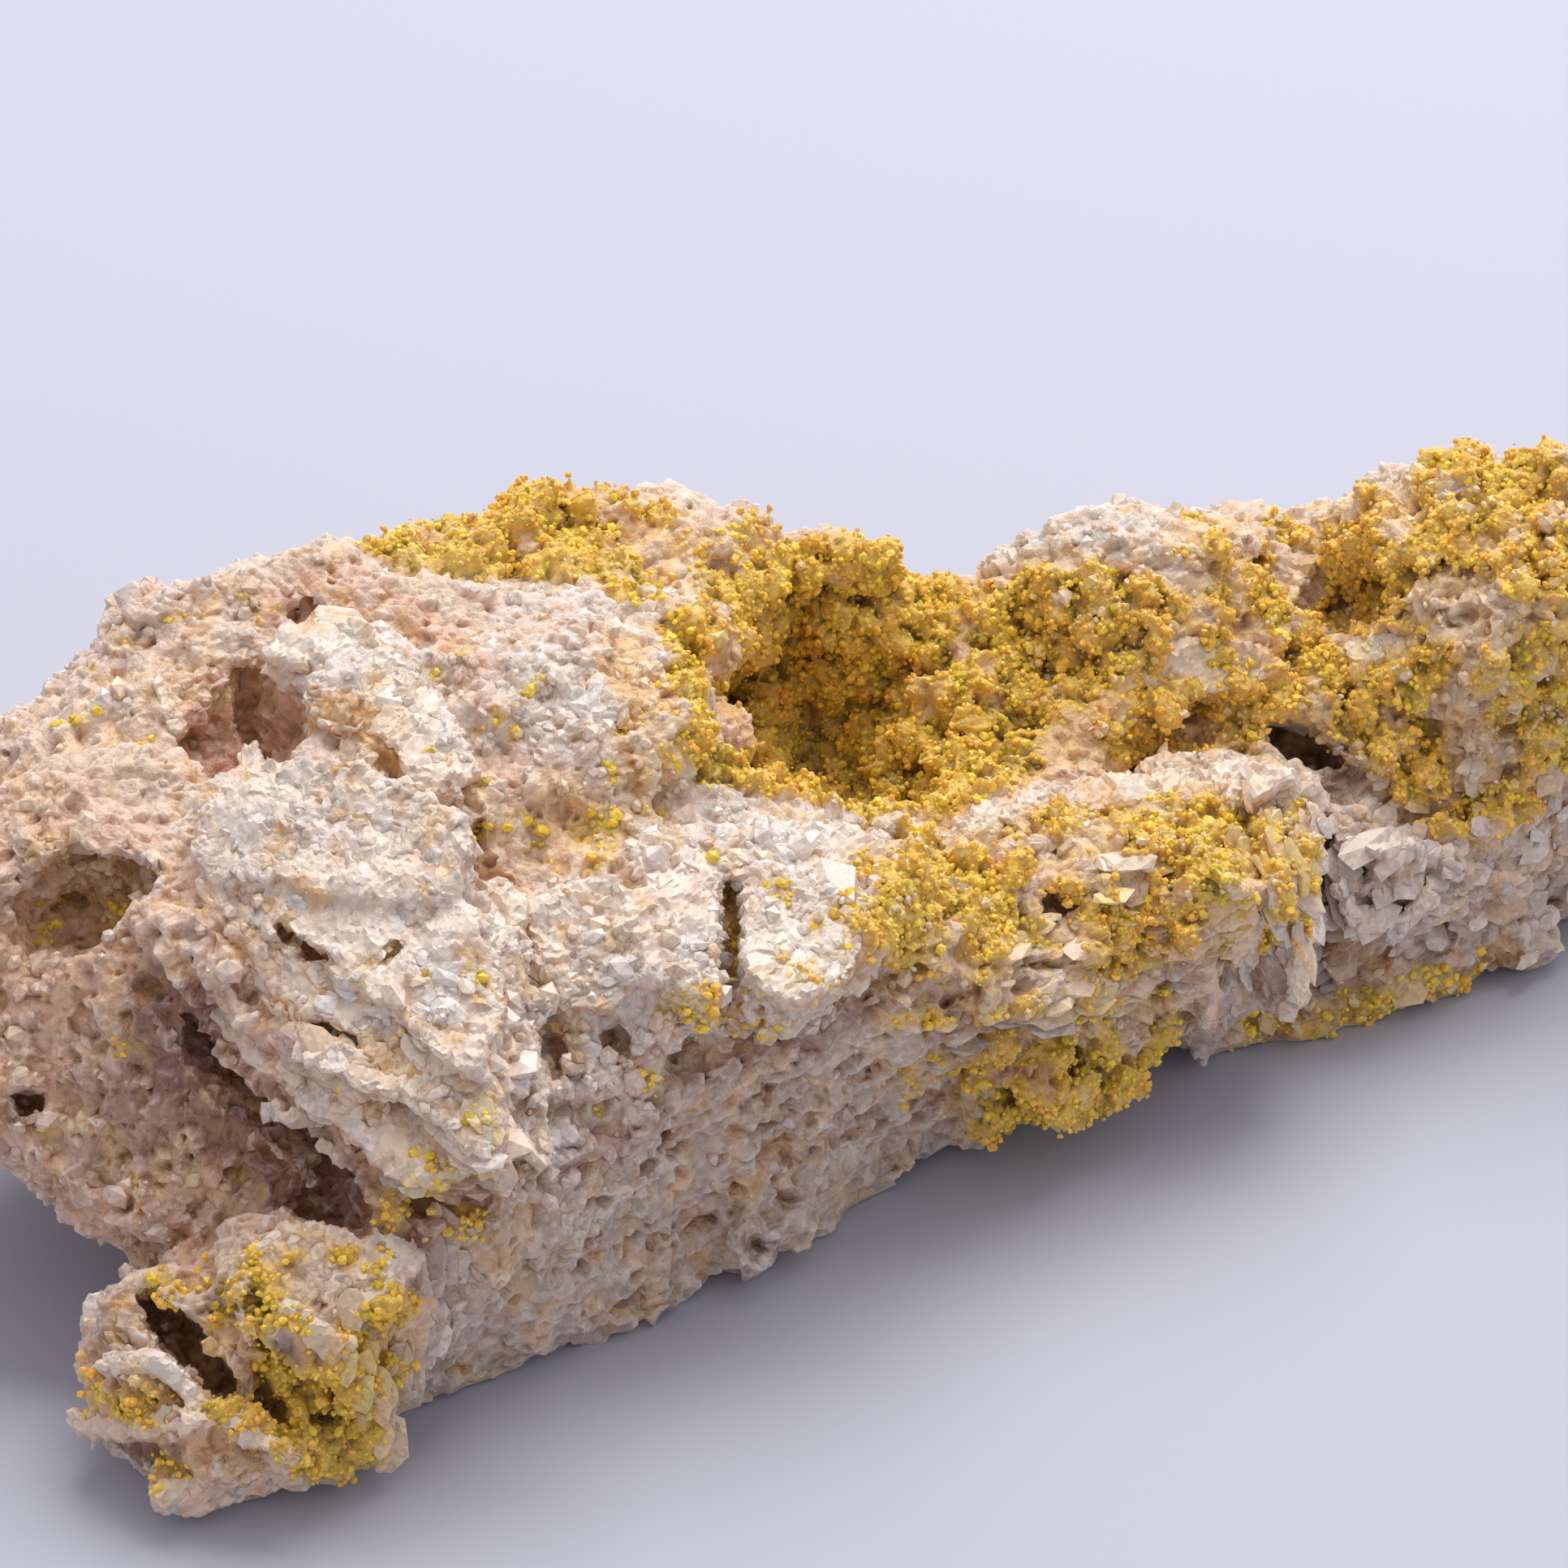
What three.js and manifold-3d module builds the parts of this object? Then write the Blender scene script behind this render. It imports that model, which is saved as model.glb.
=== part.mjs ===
// Pyromorphite specimen: a long broken lump of white, platy quartz vein rock that lies on its side, with a
// deep hollow in its upper face and patches of yellow-green pyromorphite crust grown on it.
//
// Millimetres, +Z up. X runs along the lump from its blunt left end to its narrower right end, and -Y is
// the broken front face. The origin is the middle of the bounding box, on the surface that it lies on.

import * as THREE from "three";
import { ImprovedNoise } from "three/addons/math/ImprovedNoise.js";
import { mergeVertices } from "three/addons/utils/BufferGeometryUtils.js";
import Module from "manifold-3d";

const wasm = await Module();
wasm.setup();

const FACET_EDGE = 4; // mean edge of the facets of lumps and slabs
const CUT_EDGE = 5; // mean edge of the facets inside pits and hollows
const REGION_EDGE = 6; // mean edge of the facets round a crust
const CHUNK_FLATS = 14; // flats knocked off each chunk of stone
const AROUND = 34; // the body's facets round the lump
const ALONG = 39; // and along it
const GAP = 0.3; // between the stone and a crust that sits on it
const CRUST = 1.1; // how far a crust stands off the stone, its beads included
const ROUGHNESS = 1.5; // height of the body's broken relief, more on its back
const END_BULGE = 3; // how far each blunt end stands out past its last cross-section
const CREAM_WHITE = 0xe6dcd6;
const YELLOW_OLIVE = 0xb59a1f;

const noise = new ImprovedNoise();
const degrees = THREE.MathUtils.degToRad;

// ---- helpers ------------------------------------------------------------------------------------------

/** A small seeded generator, so that every build gives the same stone. */
function seeded(seed) {
  let state = (seed * 2654435761) >>> 0;
  return () => {
    state = (state * 1664525 + 1013904223) >>> 0;
    return state / 2 ** 32;
  };
}

/** A closed geometry as a solid that can be joined and cut. */
function solid(geometry) {
  const bare = geometry.clone();
  bare.deleteAttribute("normal");
  bare.deleteAttribute("uv");
  const merged = mergeVertices(bare, 1e-4);
  const vertProperties = Float32Array.from(merged.attributes.position.array);
  const triVerts = Uint32Array.from(merged.index.array);
  return new wasm.Manifold(new wasm.Mesh({ numProp: 3, vertProperties, triVerts }));
}

/** A solid as a geometry with flat faces. */
function geometryOf(made) {
  const mesh = made.getMesh();
  const geometry = new THREE.BufferGeometry();
  geometry.setAttribute("position", new THREE.BufferAttribute(mesh.vertProperties, 3));
  geometry.setIndex(new THREE.BufferAttribute(mesh.triVerts, 1));
  return geometry.toNonIndexed();
}

/** Puts a geometry in its place: turned by three angles in degrees, then moved. */
function placed(geometry, at, turn) {
  const euler = new THREE.Euler(...turn.map(degrees), "ZYX");
  geometry.applyMatrix4(new THREE.Matrix4().makeRotationFromEuler(euler));
  return geometry.translate(...at);
}

/** Height of broken relief at a place: humps and sharp little ridges. */
function relief(x, y, z) {
  const hump = noise.noise(x / 9, y / 9, z / 9);
  const ridge = 0.5 - Math.abs(noise.noise(x / 5 + 7, y / 5, z / 5)) * 2;
  return 1.1 * hump + 0.7 * ridge;
}

/** How much of the growth a place gets: a crust is thicker where its beads crowd. */
function beads(x, y, z) {
  return 1 + 0.35 * noise.noise(x / 1.9, y / 1.9 + 3, z / 1.9);
}

/** A broken chunk of stone: a ball with flats knocked off it, stretched to its half sizes and roughened. */
function chunk({ at, size, turn = [0, 0, 0], seed, rough = 1, square = 0.35, grow = 0, edge = FACET_EDGE }) {
  const random = seeded(seed);
  const [a, b, c] = size.map((half) => half ** 1.6);
  const surface = 4 * Math.PI * ((a * b + a * c + b * c) / 3) ** (1 / 1.6);
  const facet = 0.433 * edge ** 2; // an equilateral triangle's area
  const detail = Math.max(1, Math.round(Math.sqrt(surface / (20 * facet)) - 1));
  const ball = new THREE.IcosahedronGeometry(1, detail).deleteAttribute("normal").deleteAttribute("uv");
  const geometry = mergeVertices(ball, 1e-5);
  const planes = Array.from({ length: CHUNK_FLATS }, () => {
    const z = random() * 2 - 1;
    const around = random() * 2 * Math.PI;
    const r = Math.sqrt(1 - z * z);
    const normal = new THREE.Vector3(r * Math.cos(around), r * Math.sin(around), z);
    return { normal, distance: 0.8 + 0.2 * random() };
  });
  const p = new THREE.Vector3();
  const stretch = new THREE.Vector3(...size);
  const position = geometry.attributes.position;
  for (let i = 0; i < position.count; i++) {
    p.fromBufferAttribute(position, i).normalize();
    const boxy = 1 / Math.cbrt(Math.abs(p.x) ** 3 + Math.abs(p.y) ** 3 + Math.abs(p.z) ** 3);
    let reach = THREE.MathUtils.lerp(1, boxy, square);
    for (const { normal, distance } of planes) {
      const facing = normal.dot(p);
      if (facing > 0.1) reach = Math.min(reach, distance / facing);
    }
    p.multiplyScalar(reach).multiply(stretch);
    p.setLength(p.length() + grow * beads(p.x, p.y, p.z) + rough * relief(p.x + 31 * seed, p.y, p.z));
    position.setXYZ(i, p.x, p.y, p.z);
  }
  return solid(placed(geometry, at, turn));
}

/** A plate or block of stone: a box with ragged sides that thins towards its edges. */
function slab({ at, size, turn, seed, ragged = 1, taper = 0.4, grow = 0, edge = FACET_EDGE }) {
  const lengths = size.map((half) => 2 * half);
  const steps = lengths.map((length) => Math.max(1, Math.round(length / edge)));
  const box = new THREE.BoxGeometry(...lengths, ...steps).deleteAttribute("normal").deleteAttribute("uv");
  const geometry = mergeVertices(box, 1e-4);
  const position = geometry.attributes.position;
  for (let i = 0; i < position.count; i++) {
    const x = position.getX(i);
    const y = position.getY(i);
    const z = position.getZ(i);
    const side = Math.max(Math.abs(x / size[0]), Math.abs(y / size[1])); // 1 on the slab's sides
    const corner = Math.abs(x / size[0]) * Math.abs(y / size[1]);
    const jag = ragged * relief(1.7 * x + 31 * seed, 1.7 * y, z);
    const bump = 0.5 * ragged * relief(x, y + 17 * seed, 3 * Math.sign(z));
    const reach = 1 - 0.14 * corner ** 2 + 0.7 * jag * side / Math.max(size[0], size[1]);
    position.setXYZ(i, x * reach, y * reach, z * (1 - taper * side ** 3) + bump);
  }
  geometry.scale(...size.map((half) => (half + grow) / half));
  return solid(placed(geometry, at, turn));
}

// ---- body -------------------------------------------------------------------------------------------

// Cross-sections from left to right, as [y, z] places. front is the base, belly, edge, shelf and crest of the
// broken front face, going up. back is the crest, shoulder, belly and base of the back, going down, and then
// the middle of the underside.
const sections = [
  {
    x: -55,
    front: [[2, 13], [0, 15], [2, 18], [6, 21], [11, 23]],
    back: [[16, 22], [20, 19], [20, 15], [16, 12], [9, 11]],
  },
  {
    x: -51,
    front: [[-2, 11], [-4, 13], [-2, 16], [2, 20], [7, 24]],
    back: [[13, 25], [18, 21], [20, 15], [15, 10], [6, 9]],
  },
  {
    x: -45,
    front: [[-12, 3], [-12, 8], [-9, 13], [-6, 20], [0, 26]],
    back: [[10, 29], [18, 26], [22, 17], [15, 6], [0, 5]],
  },
  {
    x: -38,
    front: [[-17, -1], [-17, 8], [-15, 14], [-11, 21], [-3, 28]],
    back: [[8, 30], [19, 29], [23, 17], [17, 3], [0, 0]],
  },
  {
    x: -31,
    front: [[-18, -1], [-20, 8], [-19, 16], [-12, 23], [-3, 29]],
    back: [[10, 32], [19, 33], [24, 18], [18, 2], [0, -1]],
  },
  {
    x: -24,
    front: [[-17, -1], [-19, 10], [-20, 18], [-14, 22], [-4, 27]],
    back: [[8, 33], [17, 35], [24, 20], [18, 3], [0, -1]],
  },
  {
    x: -17,
    front: [[-16, -1], [-18, 10], [-20, 19], [-15, 23], [-6, 28]],
    back: [[6, 33], [16, 33], [22, 20], [16, 3], [0, -1]],
  },
  {
    x: -10,
    front: [[-16, 0], [-18, 9], [-20, 19], [-16, 22], [-6, 26]],
    back: [[6, 32], [14, 32], [19, 20], [14, 4], [0, 0]],
  },
  {
    x: -3,
    front: [[-14, 1], [-17, 8], [-20, 18], [-16, 21], [-7, 22]],
    back: [[5, 29], [12, 30], [17, 19], [13, 5], [0, 1]],
  },
  {
    x: 4,
    front: [[-14, 2], [-17, 7], [-20, 16], [-16, 19], [-8, 20]],
    back: [[4, 27], [10, 29], [15, 17], [12, 5], [0, 1]],
  },
  {
    x: 11,
    front: [[-13, 2], [-17, 7], [-19, 14], [-15, 18], [-8, 18]],
    back: [[1, 22], [7, 24], [13, 15], [11, 4], [0, 1]],
  },
  {
    x: 17,
    front: [[-13, 1], [-17, 7], [-19, 13], [-16, 18], [-9, 18]],
    back: [[-1, 24], [6, 25], [12, 15], [10, 4], [0, 0]],
  },
  {
    x: 24,
    front: [[-13, 0], [-16, 6], [-17, 12], [-14, 16], [-8, 18]],
    back: [[0, 24], [6, 25], [11, 15], [9, 4], [0, 0]],
  },
  {
    x: 32,
    front: [[-14, 0], [-17, 6], [-17, 11], [-14, 15], [-9, 19]],
    back: [[-2, 23], [4, 24], [9, 15], [8, 3], [0, 0]],
  },
  {
    x: 40,
    front: [[-14, 0], [-17, 6], [-17, 12], [-15, 16], [-11, 20]],
    back: [[-5, 23], [2, 23], [7, 16], [6, 4], [0, 0]],
  },
  {
    x: 48,
    front: [[-13, 1], [-16, 7], [-16, 13], [-15, 18], [-11, 23]],
    back: [[-5, 25], [1, 24], [5, 16], [4, 5], [-3, 1]],
  },
  {
    x: 55,
    front: [[-10, 6], [-12, 9], [-12, 14], [-11, 18], [-9, 21]],
    back: [[-5, 22], [-1, 20], [2, 15], [0, 9], [-4, 5]],
  },
];

/** The body of the lump: a ball with its poles on X, drawn out over the cross-sections and roughened. */
function body(grow) {
  const rings = sections.map(({ x, front, back }) => {
    return [...front, ...back].map((yz) => new THREE.Vector3(x, ...yz));
  });
  const rails = rings[0].map((_, k) => {
    const points = rings.map((ring) => ring[k]);
    return new THREE.CatmullRomCurve3(points, false, "catmullrom", 0.3);
  });
  const ball = new THREE.SphereGeometry(1, AROUND, ALONG);
  const position = ball.attributes.position;
  const p = new THREE.Vector3();
  for (let i = 0; i < position.count; i++) {
    p.fromBufferAttribute(position, i);
    const polar = Math.acos(THREE.MathUtils.clamp(p.y, -1, 1)) / Math.PI;
    const turn = (Math.atan2(p.z, -p.x) / (2 * Math.PI) + 1) % 1;
    const t = THREE.MathUtils.clamp((polar * ALONG - 2) / (ALONG - 4), 0, 1);
    const points = rails.map((rail) => rail.getPoint(t));
    const ring = new THREE.CatmullRomCurve3(points, true, "catmullrom", 0.35);
    const middle = points.reduce((sum, q) => sum.add(q), new THREE.Vector3()).divideScalar(points.length);
    const cap = THREE.MathUtils.clamp(Math.min(polar, 1 - polar) * ALONG / 2, 0, 1); // 0 at a pole
    const endward = (polar < 0.5 ? -1 : 1) * (1 - cap);
    const q = ring.getPoint(turn);
    q.lerp(middle, 1 - Math.sin(cap * Math.PI / 2));
    q.x += END_BULGE * endward;
    const outward = q.clone().sub(middle);
    outward.x += 8 * endward;
    const rough = ROUGHNESS * (1 + 0.6 * THREE.MathUtils.smoothstep(q.y, 6, 16));
    q.addScaledVector(outward.normalize(), grow * beads(q.x, q.y, q.z) + rough * relief(q.x, q.y, q.z));
    position.setXYZ(i, q.x, q.y, q.z);
  }
  return solid(ball);
}

// Lumps, slabs and blocks that stand out of the body.
const lobes = [
  // quartz dome left of the hollow
  { shape: chunk, at: [-17.5, 1.5, 25.5], size: [11, 8.5, 8], turn: [14, 4, -20], seed: 6, square: 0.5 },
  // back rim, left knob
  { shape: chunk, at: [-10, 13, 29], size: [5, 4, 4.4], seed: 7, square: 0.2 },
  // back rim, middle
  { shape: chunk, at: [-2, 9.5, 28], size: [7, 5, 4.5], turn: [0, 12, -30], seed: 8 },
  // back rim, right
  { shape: chunk, at: [5.5, 6.5, 26], size: [5.5, 4, 4], turn: [0, 20, -30], seed: 9 },
  // shelf below the pile
  { shape: chunk, at: [-26, -13.5, 17.5], size: [6, 7, 5.5], turn: [20, 0, 30], seed: 12, square: 0.6 },
  // pyromorphite clump on the shelf
  { shape: chunk, at: [-5.5, -16.5, 20.5], size: [3.6, 3.2, 4], seed: 13, square: 0.2 },
  // front shelf
  { shape: chunk, at: [5.5, -14.5, 15.5], size: [10, 6, 5.5], turn: [8, 4, 4], seed: 15, square: 0.6 },
  // crest block right of the saddle
  { shape: chunk, at: [21.8, 0.5, 21], size: [9.6, 6, 6.9], turn: [6, 4, -18], seed: 17, square: 0.7 },
  // right knob
  { shape: chunk, at: [44, -7.5, 19.5], size: [11.5, 10, 9.5], turn: [0, 0, -12], seed: 19 },
  // yellow belly lump
  { shape: chunk, at: [6, -16, 7], size: [7.3, 5, 4.6], turn: [0, 0, 8], seed: 22 },
  // small bump under the front
  { shape: chunk, at: [-14.5, -16.5, 3], size: [3.4, 3.4, 3.4], turn: [0, 0, 20], seed: 23 },
  // foot, right part
  { shape: chunk, at: [-43.5, -16.5, 6], size: [5.5, 7.5, 8.5], turn: [0, -8, 24], seed: 24, square: 0.8 },
  // foot, left part
  { shape: chunk, at: [-50, -14.5, 5], size: [5, 7.5, 7], turn: [0, -10, 20], seed: 25, square: 0.8 },
  // corner under the pile
  { shape: chunk, at: [-36, -17.5, 10], size: [5, 4.5, 8], turn: [0, 0, 20], seed: 26, square: 0.6 },
  // lower slab of the left pile of plates
  { shape: slab, at: [-37, -10.5, 19.3], size: [6.3, 12.5, 2.2], turn: [21, -25, 15], seed: 2 },
  // upper slab of the left pile
  { shape: slab, at: [-35.5, -8, 23.6], size: [6.8, 12, 3], turn: [20, -20, 15], seed: 3 },
  // second plate, behind the pile
  { shape: slab, at: [-26, 1.5, 29.3], size: [5, 8.5, 2.8], turn: [17, -16, 25], seed: 5 },
  // shelf block, left
  { shape: slab, at: [-20, -14.5, 20.5], size: [3.6, 5, 3.6], turn: [16, -6, 32], seed: 10, taper: 0.1 },
  // shelf block, right
  { shape: slab, at: [-12.8, -16.2, 19.8], size: [4, 5, 4.2], turn: [14, -6, 26], seed: 11, taper: 0.1 },
  // white shard under the clump
  { shape: slab, at: [-7, -19.5, 17.3], size: [2.8, 2.6, 0.7], turn: [-12, 12, 20], seed: 14, ragged: 0.3 },
  // block with the vertical step
  { shape: slab, at: [17.3, -14, 12.2], size: [6.6, 5.8, 6.6], turn: [12, 4, 6], seed: 16, taper: 0.15 },
  // thin pale blade
  { shape: slab, at: [20.5, -7.5, 18.8], size: [5.5, 2.2, 0.6], turn: [62, -8, 32], seed: 18, ragged: 0.3 },
];

// Pits, grooves and undercuts, cut out of the stone.
const hollows = [
  // deep hollow
  { at: [1, 0.5, 23], size: [9, 8.5, 8.5], turn: [0, 0, -15], seed: 31 },
  // mouth of the hollow towards the back right
  { at: [7, 1.5, 25.5], size: [6.5, 5, 4.5], turn: [0, 0, -20], seed: 32 },
  // recess beside the second plate
  { at: [-33.5, 6, 30.5], size: [3, 5, 4.5], turn: [0, 0, 30], seed: 33 },
  // pocket in the left end
  { at: [-45.5, 3, 24.5], size: [4, 3.4, 3.4], turn: [0, 0, -20], seed: 34, rough: 0.5 },
  // dark hole behind the stepped block
  { at: [27, -13.5, 17.5], size: [4, 3.4, 2.4], turn: [0, 0, 20], seed: 35, rough: 0.5 },
  // groove under the crest block
  { at: [20, -7, 18.5], size: [8, 2.4, 2], turn: [30, -4, 28], seed: 36, rough: 0.5 },
  // hole in front of the right knob
  { at: [34, -5.5, 22], size: [2.8, 2.4, 2.6], seed: 37, rough: 0.4 },
  // slit in the foot
  { at: [-51, -16, 10.5], size: [0.9, 5, 6], turn: [0, 18, 24], seed: 38, rough: 0.2, square: 0.8 },
  // narrow groove between the shelf blocks
  { at: [-16.6, -19.5, 22], size: [0.7, 4, 4.5], turn: [0, 0, 25], seed: 39, rough: 0.2 },
  // crevice at the corner
  { at: [-33.5, -23, 13.5], size: [3, 2.4, 3.2], turn: [0, 0, 20], seed: 40, rough: 0.5 },
];

/** The stone. A positive grow gives the same stone with its surface moved out by that much. */
function stone(grow = 0) {
  let made = lobes.reduce((whole, lobe) => whole.add(lobe.shape({ ...lobe, grow })), body(grow));
  for (const hollow of hollows) {
    const narrowest = Math.min(...hollow.size);
    if (narrowest > 1.5 * grow) made = made.subtract(chunk({ ...hollow, grow: -grow, edge: CUT_EDGE }));
  }
  return made;
}

// ---- pyromorphite crusts ------------------------------------------------------------------------------

// Where the crusts lie: each covers the stone inside a lumpy region of the given half sizes.
const crusts = [
  { name: "in_hollow", at: [2, 2, 21.5], size: [12, 10.5, 9], turn: [0, 0, -15], seed: 51 },
  { name: "on_back_rim", at: [-12, 12, 31.5], size: [9, 4, 4], turn: [0, 0, -22], seed: 52 },
  { name: "on_crest", at: [22, -2, 21.5], size: [11, 6.5, 6], turn: [0, 0, -18], seed: 53 },
  { name: "on_right_knob", at: [42, -10.5, 20.5], size: [12, 9, 10], turn: [0, 0, -10], seed: 54 },
  { name: "on_front_shelf", at: [5, -17.5, 18], size: [14, 5.4, 5.4], turn: [0, 4, 4], seed: 55 },
  { name: "on_belly", at: [6, -18.5, 6.2], size: [7, 5, 4.6], turn: [0, 0, 8], seed: 56 },
  { name: "on_foot", at: [-45.5, -21, 9], size: [4.6, 5.5, 6], turn: [0, 0, 24], seed: 58 },
];

/** A crust: the layer between the gap and the crust's height inside its region, clear of earlier crusts. */
function crust(region, earlier, inner, outer) {
  let made = outer.intersect(chunk({ ...region, edge: REGION_EDGE })).subtract(inner);
  for (const other of earlier) made = made.subtract(chunk({ ...other, grow: GAP, edge: REGION_EDGE }));
  return made.decompose().reduce((most, piece) => (piece.volume() > most.volume() ? piece : most));
}

// ---- the specimen, cut flat where it lies on its underside --------------------------------------------

const above = solid(new THREE.BoxGeometry(300, 300, 200).translate(0, 0, 100));
const specimen = new THREE.Group();

/** Adds one piece of the specimen under its name. */
function add(name, made, color, roughness) {
  const material = new THREE.MeshStandardMaterial({ color, roughness, metalness: 0 });
  const mesh = new THREE.Mesh(geometryOf(made), material);
  mesh.name = name;
  specimen.add(mesh);
}

add("matrix", stone().intersect(above), CREAM_WHITE, 0.7);
const inner = stone(GAP);
const outer = stone(CRUST).intersect(above);
crusts.forEach((region, k) => {
  add(`pyromorphite_${region.name}`, crust(region, crusts.slice(0, k), inner, outer), YELLOW_OLIVE, 0.4);
});

export default specimen;
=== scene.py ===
import math

import bmesh
import bpy
import numpy as np
from mathutils import Matrix, Vector
from mathutils.bvhtree import BVHTree
from mathutils.kdtree import KDTree


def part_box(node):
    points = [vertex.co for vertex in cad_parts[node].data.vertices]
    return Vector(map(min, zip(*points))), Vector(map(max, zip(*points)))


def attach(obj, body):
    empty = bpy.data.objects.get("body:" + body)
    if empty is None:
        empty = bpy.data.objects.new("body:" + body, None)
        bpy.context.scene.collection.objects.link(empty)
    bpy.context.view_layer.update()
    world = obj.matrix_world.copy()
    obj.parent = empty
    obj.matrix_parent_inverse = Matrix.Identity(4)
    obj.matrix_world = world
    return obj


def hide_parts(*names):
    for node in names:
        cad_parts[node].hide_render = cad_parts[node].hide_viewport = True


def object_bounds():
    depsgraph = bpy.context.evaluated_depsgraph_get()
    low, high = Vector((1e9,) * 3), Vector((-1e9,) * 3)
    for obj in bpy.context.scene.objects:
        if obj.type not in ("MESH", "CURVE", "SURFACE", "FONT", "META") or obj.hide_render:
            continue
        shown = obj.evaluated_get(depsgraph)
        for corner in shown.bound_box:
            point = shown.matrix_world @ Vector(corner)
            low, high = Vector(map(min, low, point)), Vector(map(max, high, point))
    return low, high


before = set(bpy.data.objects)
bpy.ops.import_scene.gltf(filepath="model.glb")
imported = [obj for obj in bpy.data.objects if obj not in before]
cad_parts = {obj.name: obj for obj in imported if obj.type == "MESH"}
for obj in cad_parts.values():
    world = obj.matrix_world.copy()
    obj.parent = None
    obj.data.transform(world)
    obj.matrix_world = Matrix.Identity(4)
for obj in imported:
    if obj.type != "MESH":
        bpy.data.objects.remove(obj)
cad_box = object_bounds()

# Card, lamp and camera.
# A plain pale lavender card carries the stone. One wide soft lamp stands above, behind and to
# the right, and pale light comes from all round.
MM = 0.001
CARD_HALF = 2500 * MM
CARD_COLOUR = (0.505, 0.51, 0.59, 1)
CARD_ROUGHNESS = 0.9
CARD_GLOSS = 0.1
SKY_COLOUR = (0.93, 0.94, 1.0, 1)
SKY_STRENGTH = 0.60
LAMP_AT = (230 * MM, 190 * MM, 600 * MM)
LAMP_SIZE = 560 * MM
LAMP_POWER = 4.8
LAMP_COLOUR = (1.0, 0.985, 0.97)
CAMERA_AT = (-193.36 * MM, -295.05 * MM, 247.25 * MM)
CAMERA_AZIMUTH = math.radians(-33)
CAMERA_ELEVATION = math.radians(33)
CAMERA_NEAR = 10 * MM
CAMERA_FAR = 10000 * MM
FILM_WIDTH = 36
# The view is 86 mm wide at 400 mm from the camera.
CAMERA_LENS = FILM_WIDTH * 400 / 86

scene = bpy.context.scene
scene.view_settings.view_transform = "Standard"

card_shape = bmesh.new()
bmesh.ops.create_grid(card_shape, x_segments=1, y_segments=1, size=CARD_HALF)
card_mesh = bpy.data.meshes.new("card")
card_shape.to_mesh(card_mesh)
card_shape.free()
card = bpy.data.objects.new("card", card_mesh)
scene.collection.objects.link(card)
card_paper = bpy.data.materials.new("card_paper")
card_paper.use_nodes = True
card_surface = card_paper.node_tree.nodes["Principled BSDF"]
card_surface.inputs["Base Color"].default_value = CARD_COLOUR
card_surface.inputs["Roughness"].default_value = CARD_ROUGHNESS
card_surface.inputs["Specular IOR Level"].default_value = CARD_GLOSS
card_mesh.materials.append(card_paper)

sky = bpy.data.worlds.new("studio")
sky.use_nodes = True
sky.node_tree.nodes["Background"].inputs["Color"].default_value = SKY_COLOUR
sky.node_tree.nodes["Background"].inputs["Strength"].default_value = SKY_STRENGTH
scene.world = sky

lamp_data = bpy.data.lights.new("wide_lamp", "AREA")
lamp_data.shape = "SQUARE"
lamp_data.size = LAMP_SIZE
lamp_data.energy = LAMP_POWER
lamp_data.color = LAMP_COLOUR
lamp = bpy.data.objects.new("wide_lamp", lamp_data)
lamp.location = LAMP_AT
lamp.rotation_mode = "QUATERNION"
lamp.rotation_quaternion = (-Vector(LAMP_AT)).to_track_quat("-Z", "Y")
scene.collection.objects.link(lamp)

camera_data = bpy.data.cameras.new("camera")
camera_data.lens = CAMERA_LENS
camera_data.sensor_width = FILM_WIDTH
camera_data.clip_start = CAMERA_NEAR
camera_data.clip_end = CAMERA_FAR
camera = bpy.data.objects.new("camera", camera_data)
camera.location = CAMERA_AT
camera_back = Vector((
    math.sin(CAMERA_AZIMUTH) * math.cos(CAMERA_ELEVATION),
    -math.cos(CAMERA_AZIMUTH) * math.cos(CAMERA_ELEVATION),
    math.sin(CAMERA_ELEVATION),
))
camera.rotation_mode = "QUATERNION"
camera.rotation_quaternion = (-camera_back).to_track_quat("-Z", "Y")
scene.collection.objects.link(camera)
scene.camera = camera

# Quartz matrix.
# One block of granular white quartz, naturally broken: layered ragged plates on the left, blocky
# grains along the front shelf, a porous pitted front and right knob, pink and ochre stain in it.

# Places on the stone are given as the camera sees them, in steps across and down its view. Each
# mark lies where its line of sight meets the stone. Sizes on the stone are in mm.
VIEW_STEPS = 1932

# Lumps under the front that the stone also stands on: middle and half size.
LUMPS = [
    ((21, -13, 1.8), (2.6, 2.4, 2.2)),
    ((25.5, -14.5, 1.8), (3.0, 2.6, 2.2)),
    ((30, -14.8, 1.8), (3.0, 2.5, 2.2)),
    ((35, -15.8, 2.0), (3.2, 2.4, 2.2)),
    ((39.5, -16.6, 2.4), (2.8, 2.2, 2.2)),
]

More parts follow.
